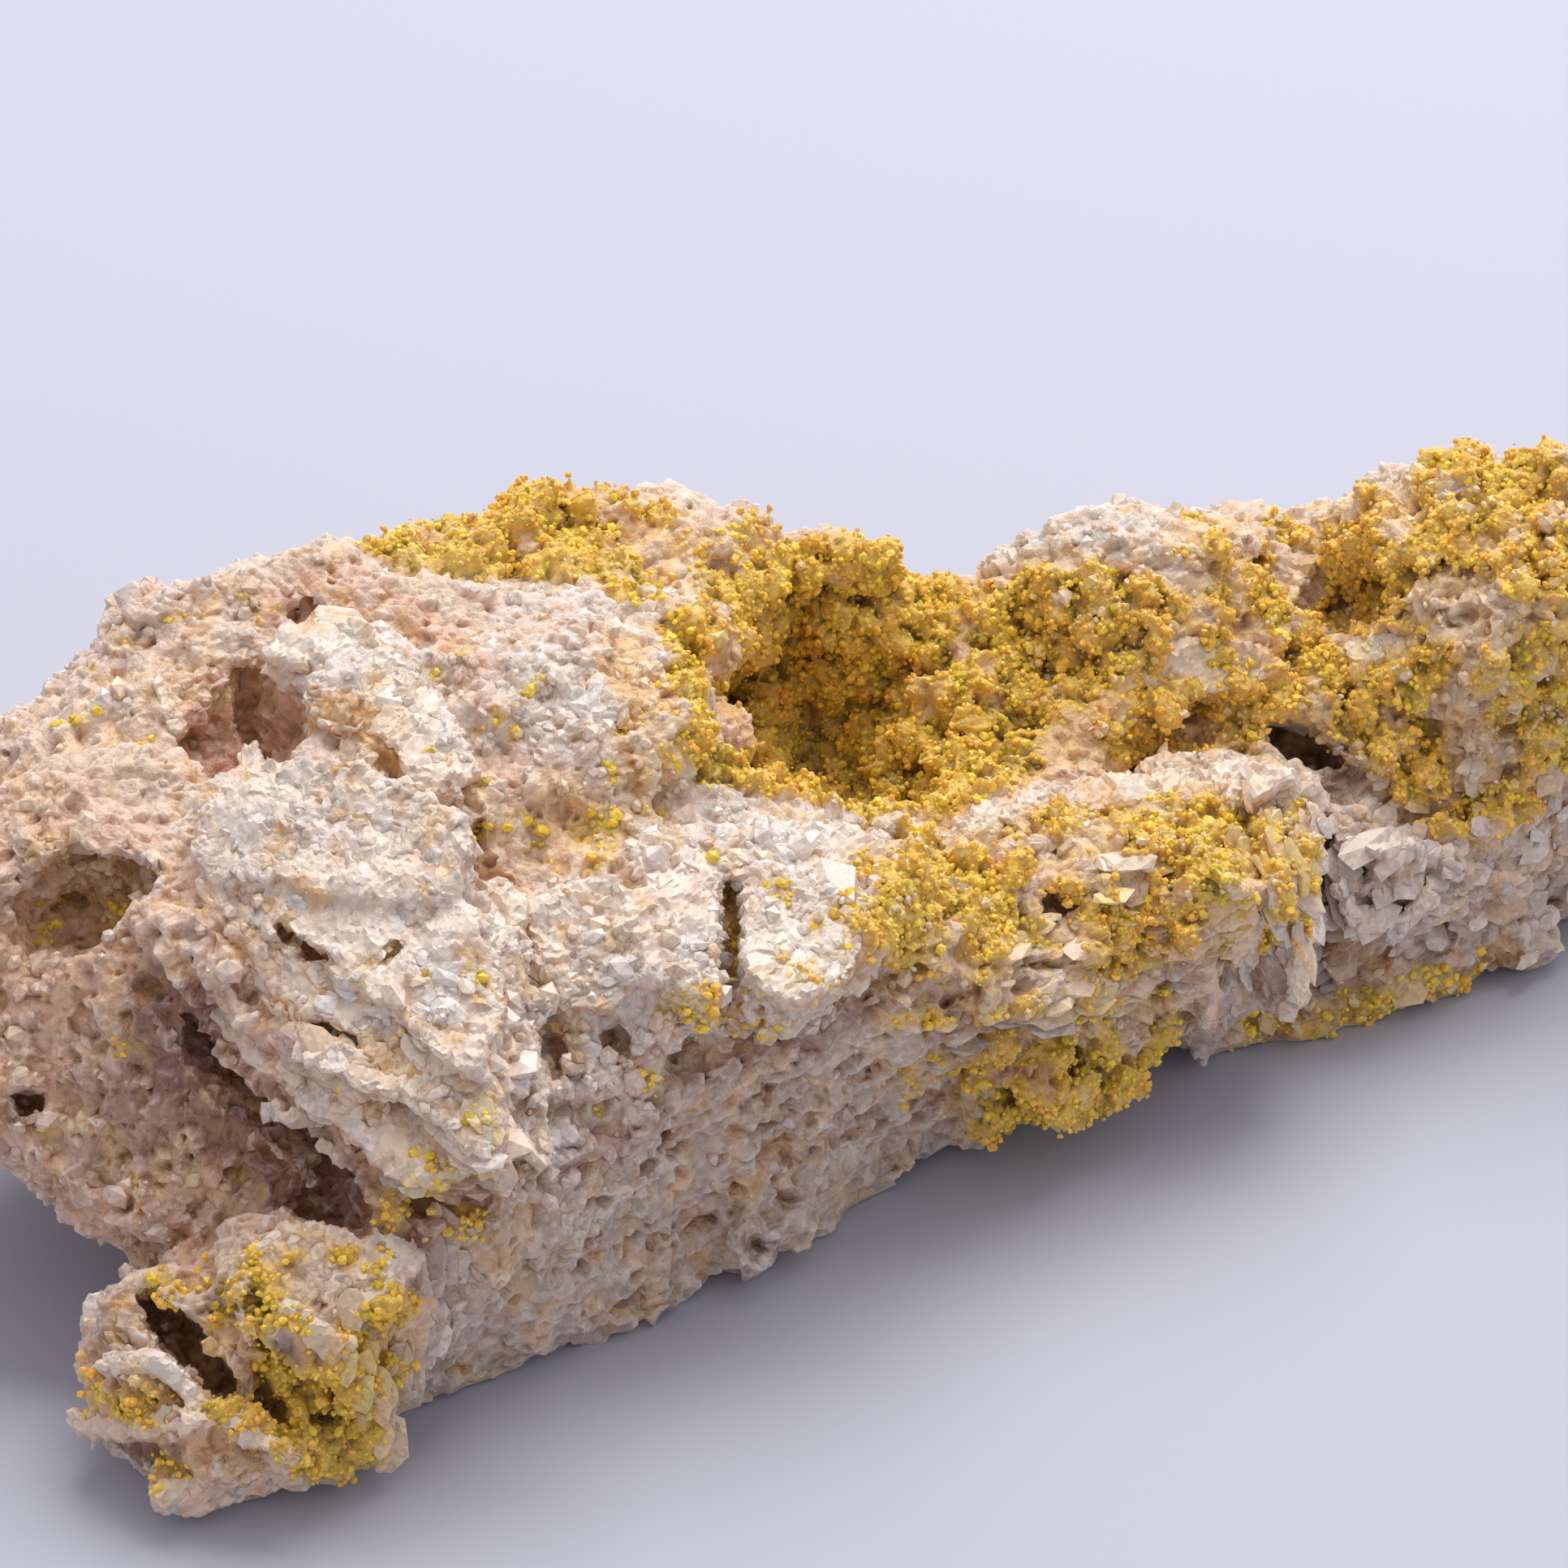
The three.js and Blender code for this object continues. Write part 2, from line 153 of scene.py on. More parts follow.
# Ridges and grooves: name, half width, height, marks along the line.
RELIEF = [
    ("groove high in the pile", 0.8, -0.7, [(300, 1100), (350, 1120), (400, 1128)]),
    ("gap under the pile's tip", 1, -1.2, [(470, 1330), (500, 1370), (540, 1410), (575, 1450)]),
    ("seam between pile and dome", 0.9, -1.1, [
        (440, 945), (500, 975), (560, 1000), (580, 1050), (600, 1080), (630, 1130),
    ]),
    ("recess under the second plate", 1.3, -1.3, [(385, 880), (430, 890), (470, 905), (500, 950)]),
    ("seam along the second plate", 0.9, -0.9, [
        (470, 740), (510, 790), (545, 850), (575, 900), (600, 960),
    ]),
    ("yellow dip behind the shelf", 1.6, -0.9, [(690, 1010), (720, 1030), (755, 1035)]),
    ("shelf's lower edge undercut", 2.0, -2.0, [
        (690, 1370), (770, 1385), (830, 1320), (900, 1300), (990, 1285), (1050, 1235),
        (1100, 1215), (1180, 1235),
    ]),
    ("split on the hollow's left wall", 0.7, -0.8, [(765, 790), (770, 830), (790, 850)]),
    ("groove on the crest's side", 1.2, -1.2, [(1230, 800), (1290, 830), (1350, 835)]),
    ("hollow in the foot's crust", 1.2, -1, [(330, 1660), (370, 1700), (400, 1740)]),
    ("long fold on the front", 0.9, -0.9, [(650, 1440), (720, 1450), (780, 1450)]),
    ("seam above the belly", 1, -1.2, [(1180, 1255), (1250, 1275), (1320, 1290), (1400, 1320)]),
    ("knob undercut", 1.4, -1.3, [(1640, 960), (1700, 980), (1760, 985), (1850, 990)]),
    ("upper plate's back edge", 1.3, 0.9, [
        (245, 1000), (300, 955), (370, 935), (440, 940), (520, 975), (570, 1010),
    ]),
    ("crest line", 1.2, 0.8, [(1100, 1010), (1200, 985), (1300, 965), (1430, 945), (1540, 945)]),
    ("rib on the stepped face", 0.7, 0.6, [(1570, 1010), (1575, 1090), (1580, 1160)]),
    ("swirl's inner fold", 0.6, 0.6, [(1700, 1060), (1700, 1090), (1725, 1095)]),
    ("long fold right of the swirl", 0.8, 0.7, [(1780, 1060), (1830, 1090), (1880, 1095)]),
    ("foot block's corner", 1.2, 0.8, [(490, 1560), (500, 1620), (495, 1680)]),
    ("grapes on the hollow's left wall", 3.0, 2.4, [(850, 800), (880, 770), (930, 770)]),
    ("lump in the hollow", 2.4, 2.2, [(900, 900), (940, 920)]),
    ("right lump in the hollow", 2.2, 2.0, [(1080, 930), (1130, 910)]),
    ("back lump in the hollow", 2.2, 1.8, [(1040, 770), (1090, 780)]),
    ("low lump in the hollow", 2.0, 1.6, [(1150, 930), (1180, 960)]),
    ("dark middle of the hollow", 3.0, -1.6, [(1010, 850), (1050, 880), (980, 900)]),
    ("knob's white crystal", 1.8, 1.6, [(1680, 800), (1710, 810)]),
]

# Cracks between layers and raised torn edges: half width, height, marks along the line.
CRACKS = [
    (0.55, -1.0, [(300, 1106), (350, 1130), (430, 1150), (500, 1158)]),
    (0.60, -1.1, [(336, 1128), (384, 1172), (434, 1198), (480, 1190), (500, 1156)]),
    (0.60, -1.2, [(356, 1248), (410, 1268), (450, 1292), (490, 1304)]),
    (0.50, -0.8, [(262, 1088), (320, 1120), (352, 1160)]),
    (0.60, -1.0, [(272, 1150), (305, 1200), (345, 1248)]),
    (0.55, -0.9, [(380, 1205), (440, 1232), (500, 1246), (560, 1250)]),
    (0.50, -0.8, [(500, 1260), (550, 1320), (600, 1350)]),
    (0.50, -0.9, [(470, 1338), (500, 1372), (545, 1412), (575, 1450)]),
    (0.45, -0.8, [(440, 1342), (470, 1390), (505, 1420)]),
    (0.55, -0.8, [(380, 960), (430, 1010), (500, 1020), (560, 1012)]),
    (0.55, -0.8, [(330, 1010), (380, 1040), (460, 1050), (520, 1090)]),
    (0.60, -1.0, [(575, 955), (592, 1010), (588, 1060), (625, 1090)]),
    (0.50, -0.9, [(600, 1090), (590, 1150), (580, 1210)]),
    (0.50, -0.9, [(650, 1100), (648, 1160), (655, 1230)]),
    (0.55, -0.9, [(775, 1090), (772, 1150), (790, 1210)]),
    (0.50, -0.7, [(700, 1085), (760, 1070), (850, 1060), (960, 1070), (1070, 1062)]),
    (0.45, -0.7, [(800, 1005), (900, 1015), (1000, 1010), (1080, 1020)]),
    (0.60, -0.9, [(140, 1640), (200, 1668), (260, 1715), (330, 1775)]),
    (0.55, -0.9, [(120, 1692), (180, 1696), (240, 1725), (290, 1765)]),
    (0.55, -0.8, [(150, 1822), (250, 1832), (330, 1815)]),
    (0.80, -1.4, [(296, 1655), (330, 1712), (365, 1765), (398, 1810)]),
    (0.55, -0.8, [(500, 1560), (480, 1640), (450, 1720), (415, 1800)]),
    (0.45, -0.7, [(520, 1580), (505, 1650), (470, 1740), (440, 1800)]),
    (0.60, -1.0, [(1180, 1195), (1260, 1185), (1360, 1200), (1450, 1185), (1510, 1200)]),
    (0.50, -0.8, [(1540, 985), (1545, 1060), (1560, 1140), (1550, 1210)]),
    (0.50, -0.8, [(1575, 975), (1580, 1060), (1585, 1150), (1580, 1230)]),
    (0.50, -0.8, [(1505, 1085), (1525, 1130), (1505, 1200), (1490, 1260)]),
    (0.50, -0.8, [(1660, 1110), (1700, 1125), (1740, 1110), (1760, 1080), (1730, 1060)]),
    (0.50, -0.8, [(1690, 1160), (1770, 1150), (1850, 1130), (1920, 1110)]),
    (0.50, -0.7, [(1680, 1200), (1760, 1190), (1860, 1170)]),
    (0.50, -0.8, [(600, 1450), (680, 1420), (760, 1400), (800, 1340)]),
    (0.50, -0.7, [(660, 1500), (760, 1480), (860, 1440), (960, 1390)]),
    (0.50, -0.7, [(600, 1600), (720, 1560), (840, 1500), (940, 1450)]),
    (0.50, -0.7, [(900, 1330), (1000, 1310), (1100, 1280), (1180, 1250)]),
    (0.50, -0.7, [(1000, 1420), (1090, 1380), (1180, 1340)]),
    (0.60, 0.6, [(205, 1180), (262, 1255), (350, 1333), (440, 1408), (520, 1455)]),
    (0.55, 0.5, [(275, 1150), (300, 1200), (350, 1250)]),
    (0.50, 0.5, [(365, 1262), (430, 1290), (480, 1320)]),
    (0.60, 0.5, [(160, 1602), (215, 1655), (283, 1712), (372, 1798)]),
    (0.55, 0.5, [(110, 1690), (172, 1664), (255, 1702), (340, 1785)]),
    (0.60, 0.6, [(292, 1570), (302, 1610), (315, 1660)]),
    (0.60, 0.6, [(1612, 965), (1616, 1060), (1620, 1150), (1618, 1235)]),
]

# Plates, fins and blocks that stand on the body: name, rise above it, thickness, outline. The
# plates of the pile all face one way, and the others face as the body does behind them.
PILE_FACING = (-0.375, -0.317, 0.871)
PILE_PLATES = [
    ("lowest plate", 0.7, 1.3, [
        (205, 1178), (232, 1215), (262, 1255), (300, 1298), (350, 1333), (400, 1368), (440, 1408),
        (478, 1447), (525, 1460), (565, 1445), (610, 1380), (560, 1280), (460, 1180), (380, 1120),
        (280, 1100), (225, 1130),
    ]),
    ("second plate up", 0.4, 1.2, [
        (272, 1148), (292, 1190), (318, 1225), (350, 1250), (395, 1290), (440, 1320), (500, 1345),
        (560, 1400), (600, 1440), (620, 1380), (600, 1260), (520, 1140), (400, 1080), (300, 1090),
    ]),
    ("third plate up", 0.8, 0.9, [
        (240, 1085), (262, 1118), (310, 1135), (350, 1160), (420, 1205), (480, 1240), (540, 1300),
        (590, 1330), (620, 1240), (590, 1120), (500, 1060), (380, 1040), (280, 1050),
    ]),
    ("top plate", 1.5, 1.5, [
        (240, 1010), (232, 1050), (262, 1080), (330, 1090), (420, 1105), (500, 1110), (560, 1100),
        (578, 1050), (570, 1005), (520, 968), (440, 935), (370, 932), (300, 950), (262, 975),
    ]),
    ("white tip under the crack", 0.9, 0.9, [
        (362, 1262), (372, 1298), (395, 1328), (420, 1318), (445, 1340), (480, 1350), (520, 1330),
        (480, 1290), (420, 1262),
    ]),
    ("long tips at the pile's front", 0.8, 0.9, [
        (480, 1375), (505, 1410), (530, 1452), (552, 1440), (545, 1400), (585, 1430), (612, 1442),
        (606, 1400), (570, 1360), (520, 1330),
    ]),
]
PLATES = [
    ("foot plate over the slit", 0.9, 1, [
        (100, 1600), (125, 1590), (150, 1604), (215, 1655), (283, 1712), (325, 1755), (372, 1798),
        (345, 1800), (300, 1765), (250, 1712), (190, 1682), (140, 1660), (108, 1640),
    ]),
    ("second foot plate", 0.7, 0.9, [
        (110, 1690), (130, 1666), (172, 1664), (215, 1677), (255, 1702), (300, 1745), (340, 1785),
        (310, 1790), (255, 1745), (205, 1705), (150, 1695),
    ]),
    ("third foot plate", 0.6, 0.9, [
        (78, 1735), (92, 1762), (130, 1772), (175, 1776), (228, 1768), (255, 1748), (235, 1735),
        (170, 1745), (120, 1738),
    ]),
    ("lowest foot plate", 0.5, 1, [
        (190, 1868), (268, 1872), (305, 1845), (385, 1835), (398, 1800), (330, 1795), (270, 1805),
        (240, 1830), (190, 1838),
    ]),
    ("foot's white cap", 0.8, 1.2, [
        (285, 1550), (330, 1518), (375, 1505), (450, 1510), (500, 1530), (520, 1545), (500, 1590),
        (440, 1620), (400, 1600), (350, 1590), (320, 1560),
    ]),
    ("foot's white fin", 0.9, 0.9, [
        (325, 1645), (345, 1600), (372, 1612), (405, 1640), (440, 1655), (425, 1690), (385, 1665),
        (350, 1665),
    ]),
    ("foot's thin blade", 1, 0.9, [
        (288, 1572), (300, 1575), (312, 1620), (320, 1662), (306, 1665), (292, 1620),
    ]),
    ("foot's striped side", 0.6, 1, [
        (480, 1560), (525, 1550), (540, 1600), (535, 1680), (500, 1720), (470, 1780), (430, 1832),
        (395, 1830), (420, 1770), (470, 1700), (490, 1640),
    ]),
    ("second block plate", 0.8, 1.3, [
        (325, 800), (350, 770), (385, 748), (420, 750), (470, 775), (515, 825), (560, 880),
        (590, 945), (560, 960), (500, 900), (450, 850), (400, 810), (370, 815),
    ]),
    ("lower lip of the second block", 0.8, 1.2, [
        (375, 845), (400, 815), (450, 830), (510, 880), (555, 940), (570, 985), (520, 975),
        (470, 905), (420, 895), (390, 885),
    ]),
    ("upright splinter", 0.9, 0.9, [
        (190, 835), (203, 830), (215, 870), (235, 900), (220, 905), (200, 880),
    ]),
    ("torn tooth at the back edge", 0.9, 0.9, [
        (285, 955), (292, 925), (318, 905), (325, 940), (345, 950), (330, 960),
    ]),
    ("upper left shelf grain", 0.7, 1.6, [
        (570, 1100), (620, 1075), (650, 1110), (640, 1160), (600, 1190), (575, 1160),
    ]),
    ("shelf block", 0.8, 2, [
        (640, 1110), (700, 1080), (760, 1085), (790, 1130), (790, 1200), (750, 1240), (700, 1235),
        (660, 1190),
    ]),
    ("glassy block left", 0.8, 2, [
        (780, 1095), (830, 1062), (885, 1070), (890, 1120), (880, 1180), (850, 1215), (800, 1200),
        (775, 1150),
    ]),
    ("glassy block right", 0.8, 2, [
        (918, 1110), (960, 1080), (1040, 1068), (1075, 1110), (1060, 1170), (1030, 1210),
        (980, 1235), (935, 1220), (915, 1160),
    ]),
    ("front band", 0.6, 1.4, [
        (770, 1035), (850, 1010), (950, 1005), (1060, 1015), (1100, 1050), (1060, 1065),
        (960, 1070), (850, 1060), (790, 1065),
    ]),
    ("crest slab", 0.8, 1.4, [
        (1390, 950), (1430, 920), (1450, 935), (1440, 960), (1400, 975),
    ]),
    ("long crest lip", 0.7, 1.2, [
        (1180, 985), (1300, 960), (1400, 950), (1480, 945), (1570, 935), (1600, 960), (1540, 985),
        (1430, 985), (1300, 1000), (1200, 1010),
    ]),
    ("crest's white brow", 0.7, 1.4, [
        (1370, 820), (1420, 790), (1500, 785), (1560, 800), (1590, 830), (1540, 850), (1470, 860),
        (1400, 850),
    ]),
    ("stepped face edge", 0.8, 1.2, [
        (1595, 960), (1618, 965), (1618, 1060), (1622, 1150), (1618, 1235), (1600, 1240),
        (1592, 1150), (1590, 1050),
    ]),
    ("curl on the stepped face", 0.7, 1, [
        (1510, 1080), (1540, 1090), (1556, 1130), (1548, 1180), (1525, 1205), (1518, 1170),
        (1530, 1130),
    ]),
    ("fin by the belly", 0.7, 0.9, [
        (1480, 1195), (1500, 1190), (1510, 1240), (1495, 1280), (1480, 1270), (1490, 1235),
    ]),
    ("swirl's outer fold", 0.7, 0.9, [
        (1655, 1095), (1680, 1130), (1730, 1130), (1765, 1095), (1775, 1110), (1740, 1150),
        (1685, 1150), (1655, 1125),
    ]),
    ("swirl's upper fold", 0.7, 0.9, [
        (1690, 1050), (1740, 1035), (1790, 1050), (1840, 1075), (1890, 1080), (1885, 1095),
        (1820, 1095), (1760, 1065), (1710, 1070),
    ]),
    ("knob's white crystal", 1.2, 2.2, [
        (1650, 790), (1690, 770), (1735, 785), (1738, 830), (1700, 850), (1665, 840),
    ]),
]
PLATE_ROOT = 1.8
TORN_STEP = 0.8
TORN_DEPTH = 0.2

# Slits, pockets and gaps sunk into it: name, depth, outline. They run straight away from the eye,
# but the gap under the pile's lowest plate runs in under that plate.
HOLES = [
    ("slit in the foot", 5, [
        (160, 1588), (195, 1600), (245, 1628), (262, 1662), (300, 1702), (290, 1736),
        (255, 1722), (200, 1666), (164, 1628),
    ]),
    ("lower slit in the foot", 3.5, [
        (92, 1768), (140, 1780), (205, 1778), (218, 1790), (150, 1797), (100, 1786),
    ]),
    ("left pocket", 3, [
        (60, 1060), (110, 1045), (160, 1050), (200, 1085), (170, 1110), (120, 1082), (80, 1088),
    ]),
    ("left end hole", 3, [
        (2, 1342), (50, 1348), (60, 1372), (20, 1378),
    ]),
    ("recess by the second plate", 3, [
        (285, 820), (330, 830), (375, 850), (385, 890), (370, 925), (320, 945), (290, 900),
    ]),
    ("notch behind the second plate", 2.5, [
        (340, 760), (380, 732), (398, 742), (372, 776), (350, 778),
    ]),
    ("dark split in the shelf", 2.8, [
        (640, 1228), (656, 1240), (692, 1288), (702, 1332), (680, 1336), (664, 1290),
    ]),
    ("groove between shelf blocks", 2.4, [
        (884, 1090), (906, 1082), (914, 1130), (916, 1200), (900, 1240), (884, 1230), (894, 1180),
        (887, 1120),
    ]),
    ("deep dark hole", 5.5, [
        (1552, 888), (1620, 898), (1664, 935), (1642, 957), (1600, 942), (1568, 926),
    ]),
    ("hole before the knob", 3, [
        (1612, 762), (1640, 733), (1680, 733), (1702, 750), (1690, 772), (1640, 777),
    ]),
    ("small hole at the knob's foot", 2.6, [
        (1644, 843), (1662, 850), (1672, 882), (1654, 882),
    ]),
    ("split beside the stepped face", 2.6, [
        (1620, 980), (1634, 975), (1642, 1060), (1647, 1180), (1632, 1240), (1627, 1100),
    ]),
    ("pit in the yellow shelf", 3, [
        (1278, 1105), (1300, 1097), (1328, 1115), (1310, 1142), (1288, 1130),
    ]),
    ("pit right of it", 2.2, [
        (1473, 1145), (1490, 1133), (1502, 1165), (1485, 1178),
    ]),
    ("undercut below the crest", 2.4, [
        (1368, 952), (1440, 903), (1500, 888), (1552, 884), (1562, 902), (1500, 918), (1440, 943),
        (1400, 967),
    ]),
    ("pocket under the shelf grains", 2, [
        (728, 1275), (760, 1268), (782, 1290), (760, 1313),
    ]),
    ("swirl's eye", 1.8, [
        (1648, 1040), (1672, 1048), (1693, 1075), (1672, 1088), (1654, 1065),
    ]),
    ("shadow gap under the lowest plate", 4, [
        (212, 1235), (262, 1298), (300, 1338), (350, 1372), (400, 1408), (445, 1450), (470, 1495),
        (440, 1505), (380, 1450), (320, 1405), (270, 1365), (225, 1300),
    ]),
    ("corner behind the foot", 2.5, [
        (480, 1462), (560, 1475), (605, 1452), (612, 1482), (560, 1512), (500, 1502),
    ]),
    ("dark pit on the front", 1.6, [
        (958, 1408), (986, 1413), (982, 1442), (960, 1438),
    ]),
    ("knob pit", 2, [
        (1888, 638), (1915, 648), (1906, 672), (1890, 660),
    ]),
    ("knob pit low", 2, [
        (1742, 822), (1768, 832), (1762, 862), (1744, 852),
    ]),
    ("long crack in the pile", 1.8, [
        (356, 1246), (400, 1254), (450, 1278), (488, 1302), (450, 1298), (400, 1274), (360, 1264),
    ]),
    ("ochre crack in the pile", 2, [
        (433, 1196), (455, 1178), (470, 1184), (495, 1153), (502, 1166), (480, 1197), (455, 1195),
    ]),
    ("ochre groove in the pile", 1.3, [
        (338, 1128), (382, 1163), (430, 1188), (436, 1202), (390, 1192), (350, 1157),
    ]),
    ("step between the two lowest plates", 1.5, [
        (248, 1143), (275, 1163), (300, 1208), (342, 1250), (330, 1267), (288, 1225), (260, 1185),
    ]),
    ("gap beside the foot's blade", 2.2, [
        (300, 1590), (318, 1600), (330, 1650), (350, 1690), (330, 1690), (312, 1650),
    ]),
    ("pit by the base bump", 1.5, [
        (915, 1520), (960, 1530), (955, 1548), (925, 1545),
    ]),
]
SHADOW_GAP = "shadow gap under the lowest plate"
UNDER_THE_PILE = (0.62, 0.76, 0.12)
# How far in front of the stone's face a cutting shape starts.
HOLE_START = 2.5
HOLE_GRID = 0.3

camera_right = Vector((math.cos(CAMERA_AZIMUTH), math.sin(CAMERA_AZIMUTH), 0))
camera_up = camera_back.cross(camera_right)
view_axes = np.array([camera_right, camera_up, camera_back])
eye = np.array(CAMERA_AT) / MM
matrix_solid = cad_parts["matrix"]
solid_tree = BVHTree.FromObject(matrix_solid, bpy.context.evaluated_depsgraph_get())


def sight(mark):
    """The way the camera looks to see a mark."""
    step = FILM_WIDTH / CAMERA_LENS / VIEW_STEPS
    across = (mark[0] - VIEW_STEPS / 2) * step
    down = (mark[1] - VIEW_STEPS / 2) * step
    return (camera_right * across - camera_up * down - camera_back).normalized()


def seen(marks, tree=solid_tree):
    """Where the marks lie on the stone, first its plain solid. A mark beside it is left out."""
    places = [tree.ray_cast(Vector(CAMERA_AT), sight(mark))[0] for mark in marks]
    return np.array([tuple(place) for place in places if place]) / MM


def outline_on(marks, facing, level):
    """The marks laid on the flat that faces the given way at the given level."""
    outline = []
    for mark in marks:
        look = np.array(sight(mark))
        outline.append(eye + look * (level - eye @ facing) / (look @ facing))
    return np.array(outline)


# A flat is fitted again and again, and what lies off it by more than the slack counts less.
FIT_ROUNDS = 6
FIT_SLACK = 0.4


def face_on(marks, rise):
    """The marks on the flat face nearest to the solid behind them, and the way it faces."""
    places = seen(marks) @ view_axes.T
    known = np.c_[places[:, :2], np.ones(len(places))]
    weight = np.ones(len(places))
    for _ in range(FIT_ROUNDS):
        flat = np.linalg.lstsq(known * weight[:, None], places[:, 2] * weight, rcond=None)[0]
        weight = 1 / np.maximum(np.abs(known @ flat - places[:, 2]), FIT_SLACK)
    slope = np.clip(flat[:2], -1, 1)
    near = np.median(places[:, 2] - places[:, :2] @ slope)
    facing = np.array([-slope[0], -slope[1], 1]) @ view_axes
    facing = facing / np.linalg.norm(facing)
    return outline_on(marks, facing, near * (view_axes[2] @ facing) + rise), facing


# The pile's level is read at the first marks of each plate, along its free edge.
FREE_EDGE = 7


def plate_rows(extra_rise, root, thicker):
    """Every plate's outline and the way it is drawn out behind it."""
    rows = []
    for _, rise, thick, marks in PILE_PLATES:
        facing = np.array(PILE_FACING)
        level = np.median(seen(marks[:FREE_EDGE]) @ facing) + rise + extra_rise
        depth = thick * thicker + root
        rows.append((outline_on(marks, facing, level), tuple(-depth * facing)))
    for _, rise, thick, marks in PLATES:
        outline, facing = face_on(marks, rise + extra_rise)
        rows.append((outline, tuple(-(thick * thicker + root) * facing)))
    return rows


# The noise is turned out of the axes, so that it shows no squares along them.
NOISE_TURN = Matrix.Rotation(0.9, 3, (0.5, 0.7, 0.3)).normalized()
# Large numbers that scatter a grid's corners: one for each axis and one for the salt, then
# shifts and factors that stir the result.
SCATTER = (73856093, 19349663, 83492791, 2654435761)
STIR = ((13, 1274126177), (16, 73244475))
LAST_SHIFT = 15
# Further than anything that is looked for.
FAR = 9.0
FULL_TURN = 6.2832
SPINS = 7
RISES = 13


def noise_place(points, size):
    """The points in the noise's own turned grid, whose squares are `size` mm wide."""
    return points @ np.array(NOISE_TURN).T / size


def lattice(corner, salt):
    """A number from 0 to 1 for each corner of a grid of whole numbers."""
    x, y, z = corner.astype(np.int64).T
    mixed = (x * SCATTER[0]) ^ (y * SCATTER[1]) ^ (z * SCATTER[2]) ^ (salt * SCATTER[3])
    for shift, factor in STIR:
        mixed = ((mixed ^ (mixed >> shift)) * factor) & 0xFFFFFFFF
    return ((mixed ^ (mixed >> LAST_SHIFT)) & 0xFFFFFF) / 0x1000000


def drift(points, size, salt):
    """Smooth noise from -1 to 1, its bumps about `size` mm across."""
    place = noise_place(points, size)
    base = np.floor(place)
    part = place - base
    part = part * part * (3 - 2 * part)
    total = np.zeros(len(points))
    for corner in range(8):
        step = np.array([corner & 1, corner >> 1 & 1, corner >> 2])
        weight = np.prod(np.where(step, part, 1 - part), axis=1)
        total += weight * lattice(base + step, salt)
    return total * 2 - 1


def drifts(points, *rows):
    """Noise of several sizes added up. Each row: height, size, salt."""
    return sum(height * drift(points, size, salt) for height, size, salt in rows)


def shaken(points, *rows):
    """The points moved any way by noise of several sizes. Each row: how far, size, salt."""
    moved = points
    for reach, size, salt in rows:
        away = np.stack([drift(points, size, salt + axis) for axis in range(3)], axis=1)
        moved = moved + reach * away
    return moved


def cells(points, size, salt):
    """For a broken pattern of cells: distance to the nearest centre, gap to the next, the cell's
    own number, and the offset from the centre, all in cells."""
    place = noise_place(points, size)
    base = np.floor(place)
    best = np.full(len(place), FAR)
    second = np.full(len(place), FAR)
    number = np.zeros(len(place))
    offset = np.zeros((len(place), 3))
    for k in range(3 * 3 * 3):
        corner = base + np.array([k % 3, k // 3 % 3, k // 9]) - 1
        centre = corner + np.stack([lattice(corner, salt + j) for j in range(3)], axis=1)
        away = place - centre
        far = np.linalg.norm(away, axis=1)
        closer = far < best
        second = np.where(closer, best, np.minimum(second, far))
        best = np.where(closer, far, best)
        number = np.where(closer, lattice(corner, salt + 3), number)
        offset = np.where(closer[:, None], away, offset)
    return best, second - best, number, offset


def tilts(number):
    """A direction for each cell, from its own number."""
    round_about = number * FULL_TURN * SPINS
    up = (number * RISES) % 1 * 2 - 1
    out = np.sqrt(1 - up * up)
    return np.stack([out * np.cos(round_about), out * np.sin(round_about), up], axis=1)


def ramp(value, low, high):
    """0 up to the low value and 1 from the high one, eased in between."""
    share = np.clip((value - low) / (high - low), 0, 1)
    return share * share * (3 - 2 * share)


def chunks(points, size, salt, step, lean, groove=0):
    """Relief of broken chunks, each a step in or out and leaning its own way, with grooves."""
    _, edge, number, offset = cells(points, size, salt)
    push = step * (number - 0.5) + lean * np.sum(offset * tilts(number), axis=1)
    return push - groove * (1 - ramp(edge, 0, 0.25))


def grapes(points, size, salt, height, least, top, fall):
    """Relief of round lumps, each with its own height."""
    near, _, number, _ = cells(points, size, salt)
    return (height * number + least) * (top - fall * near * near)


def pits(points, size, salt, missing, half, rim):
    """1 in round pits and 0 outside them. A share of the cells, `missing`, has no pit."""
    near, _, number, _ = cells(points, size, salt)
    return (number > missing) * ramp(half - near, 0, rim)


# How soft the edge of a patch is, and the noise on it: height, size, salt.
PATCH_EDGE = 0.35
PATCH_NOISE = ((0.22, 3.1, 70), (0.10, 1.3, 71))


def patch(points, centre, half):
    """1 inside a rough-edged oval, fading to 0 outside it."""
    far = np.linalg.norm((points - centre) / half, axis=1)
    far = far + drifts(points, *PATCH_NOISE)
    return 1 - ramp(far, 1 - PATCH_EDGE, 1 + PATCH_EDGE)


def patches(points, rows):
    """The strongest of several patches at each point."""
    total = np.zeros(len(points))
    for centre, half, strength in rows:
        total = np.maximum(total, strength * patch(points, centre, half))
    return total


def line_share(points, marks, half, tree=solid_tree):
    """1 on the line through the marks, falling to 0 at its half width."""
    points = points / half
    ends = seen(marks, tree) / half
    far = np.full(len(points), FAR)
    for a, b in zip(ends[:-1], ends[1:]):
        along = np.clip((points - a) @ (b - a) / max((b - a) @ (b - a), 1e-9), 0, 1)
        far = np.minimum(far, np.linalg.norm(points - a - along[:, None] * (b - a), axis=1))
    return np.clip(1 - far, 0, 1)


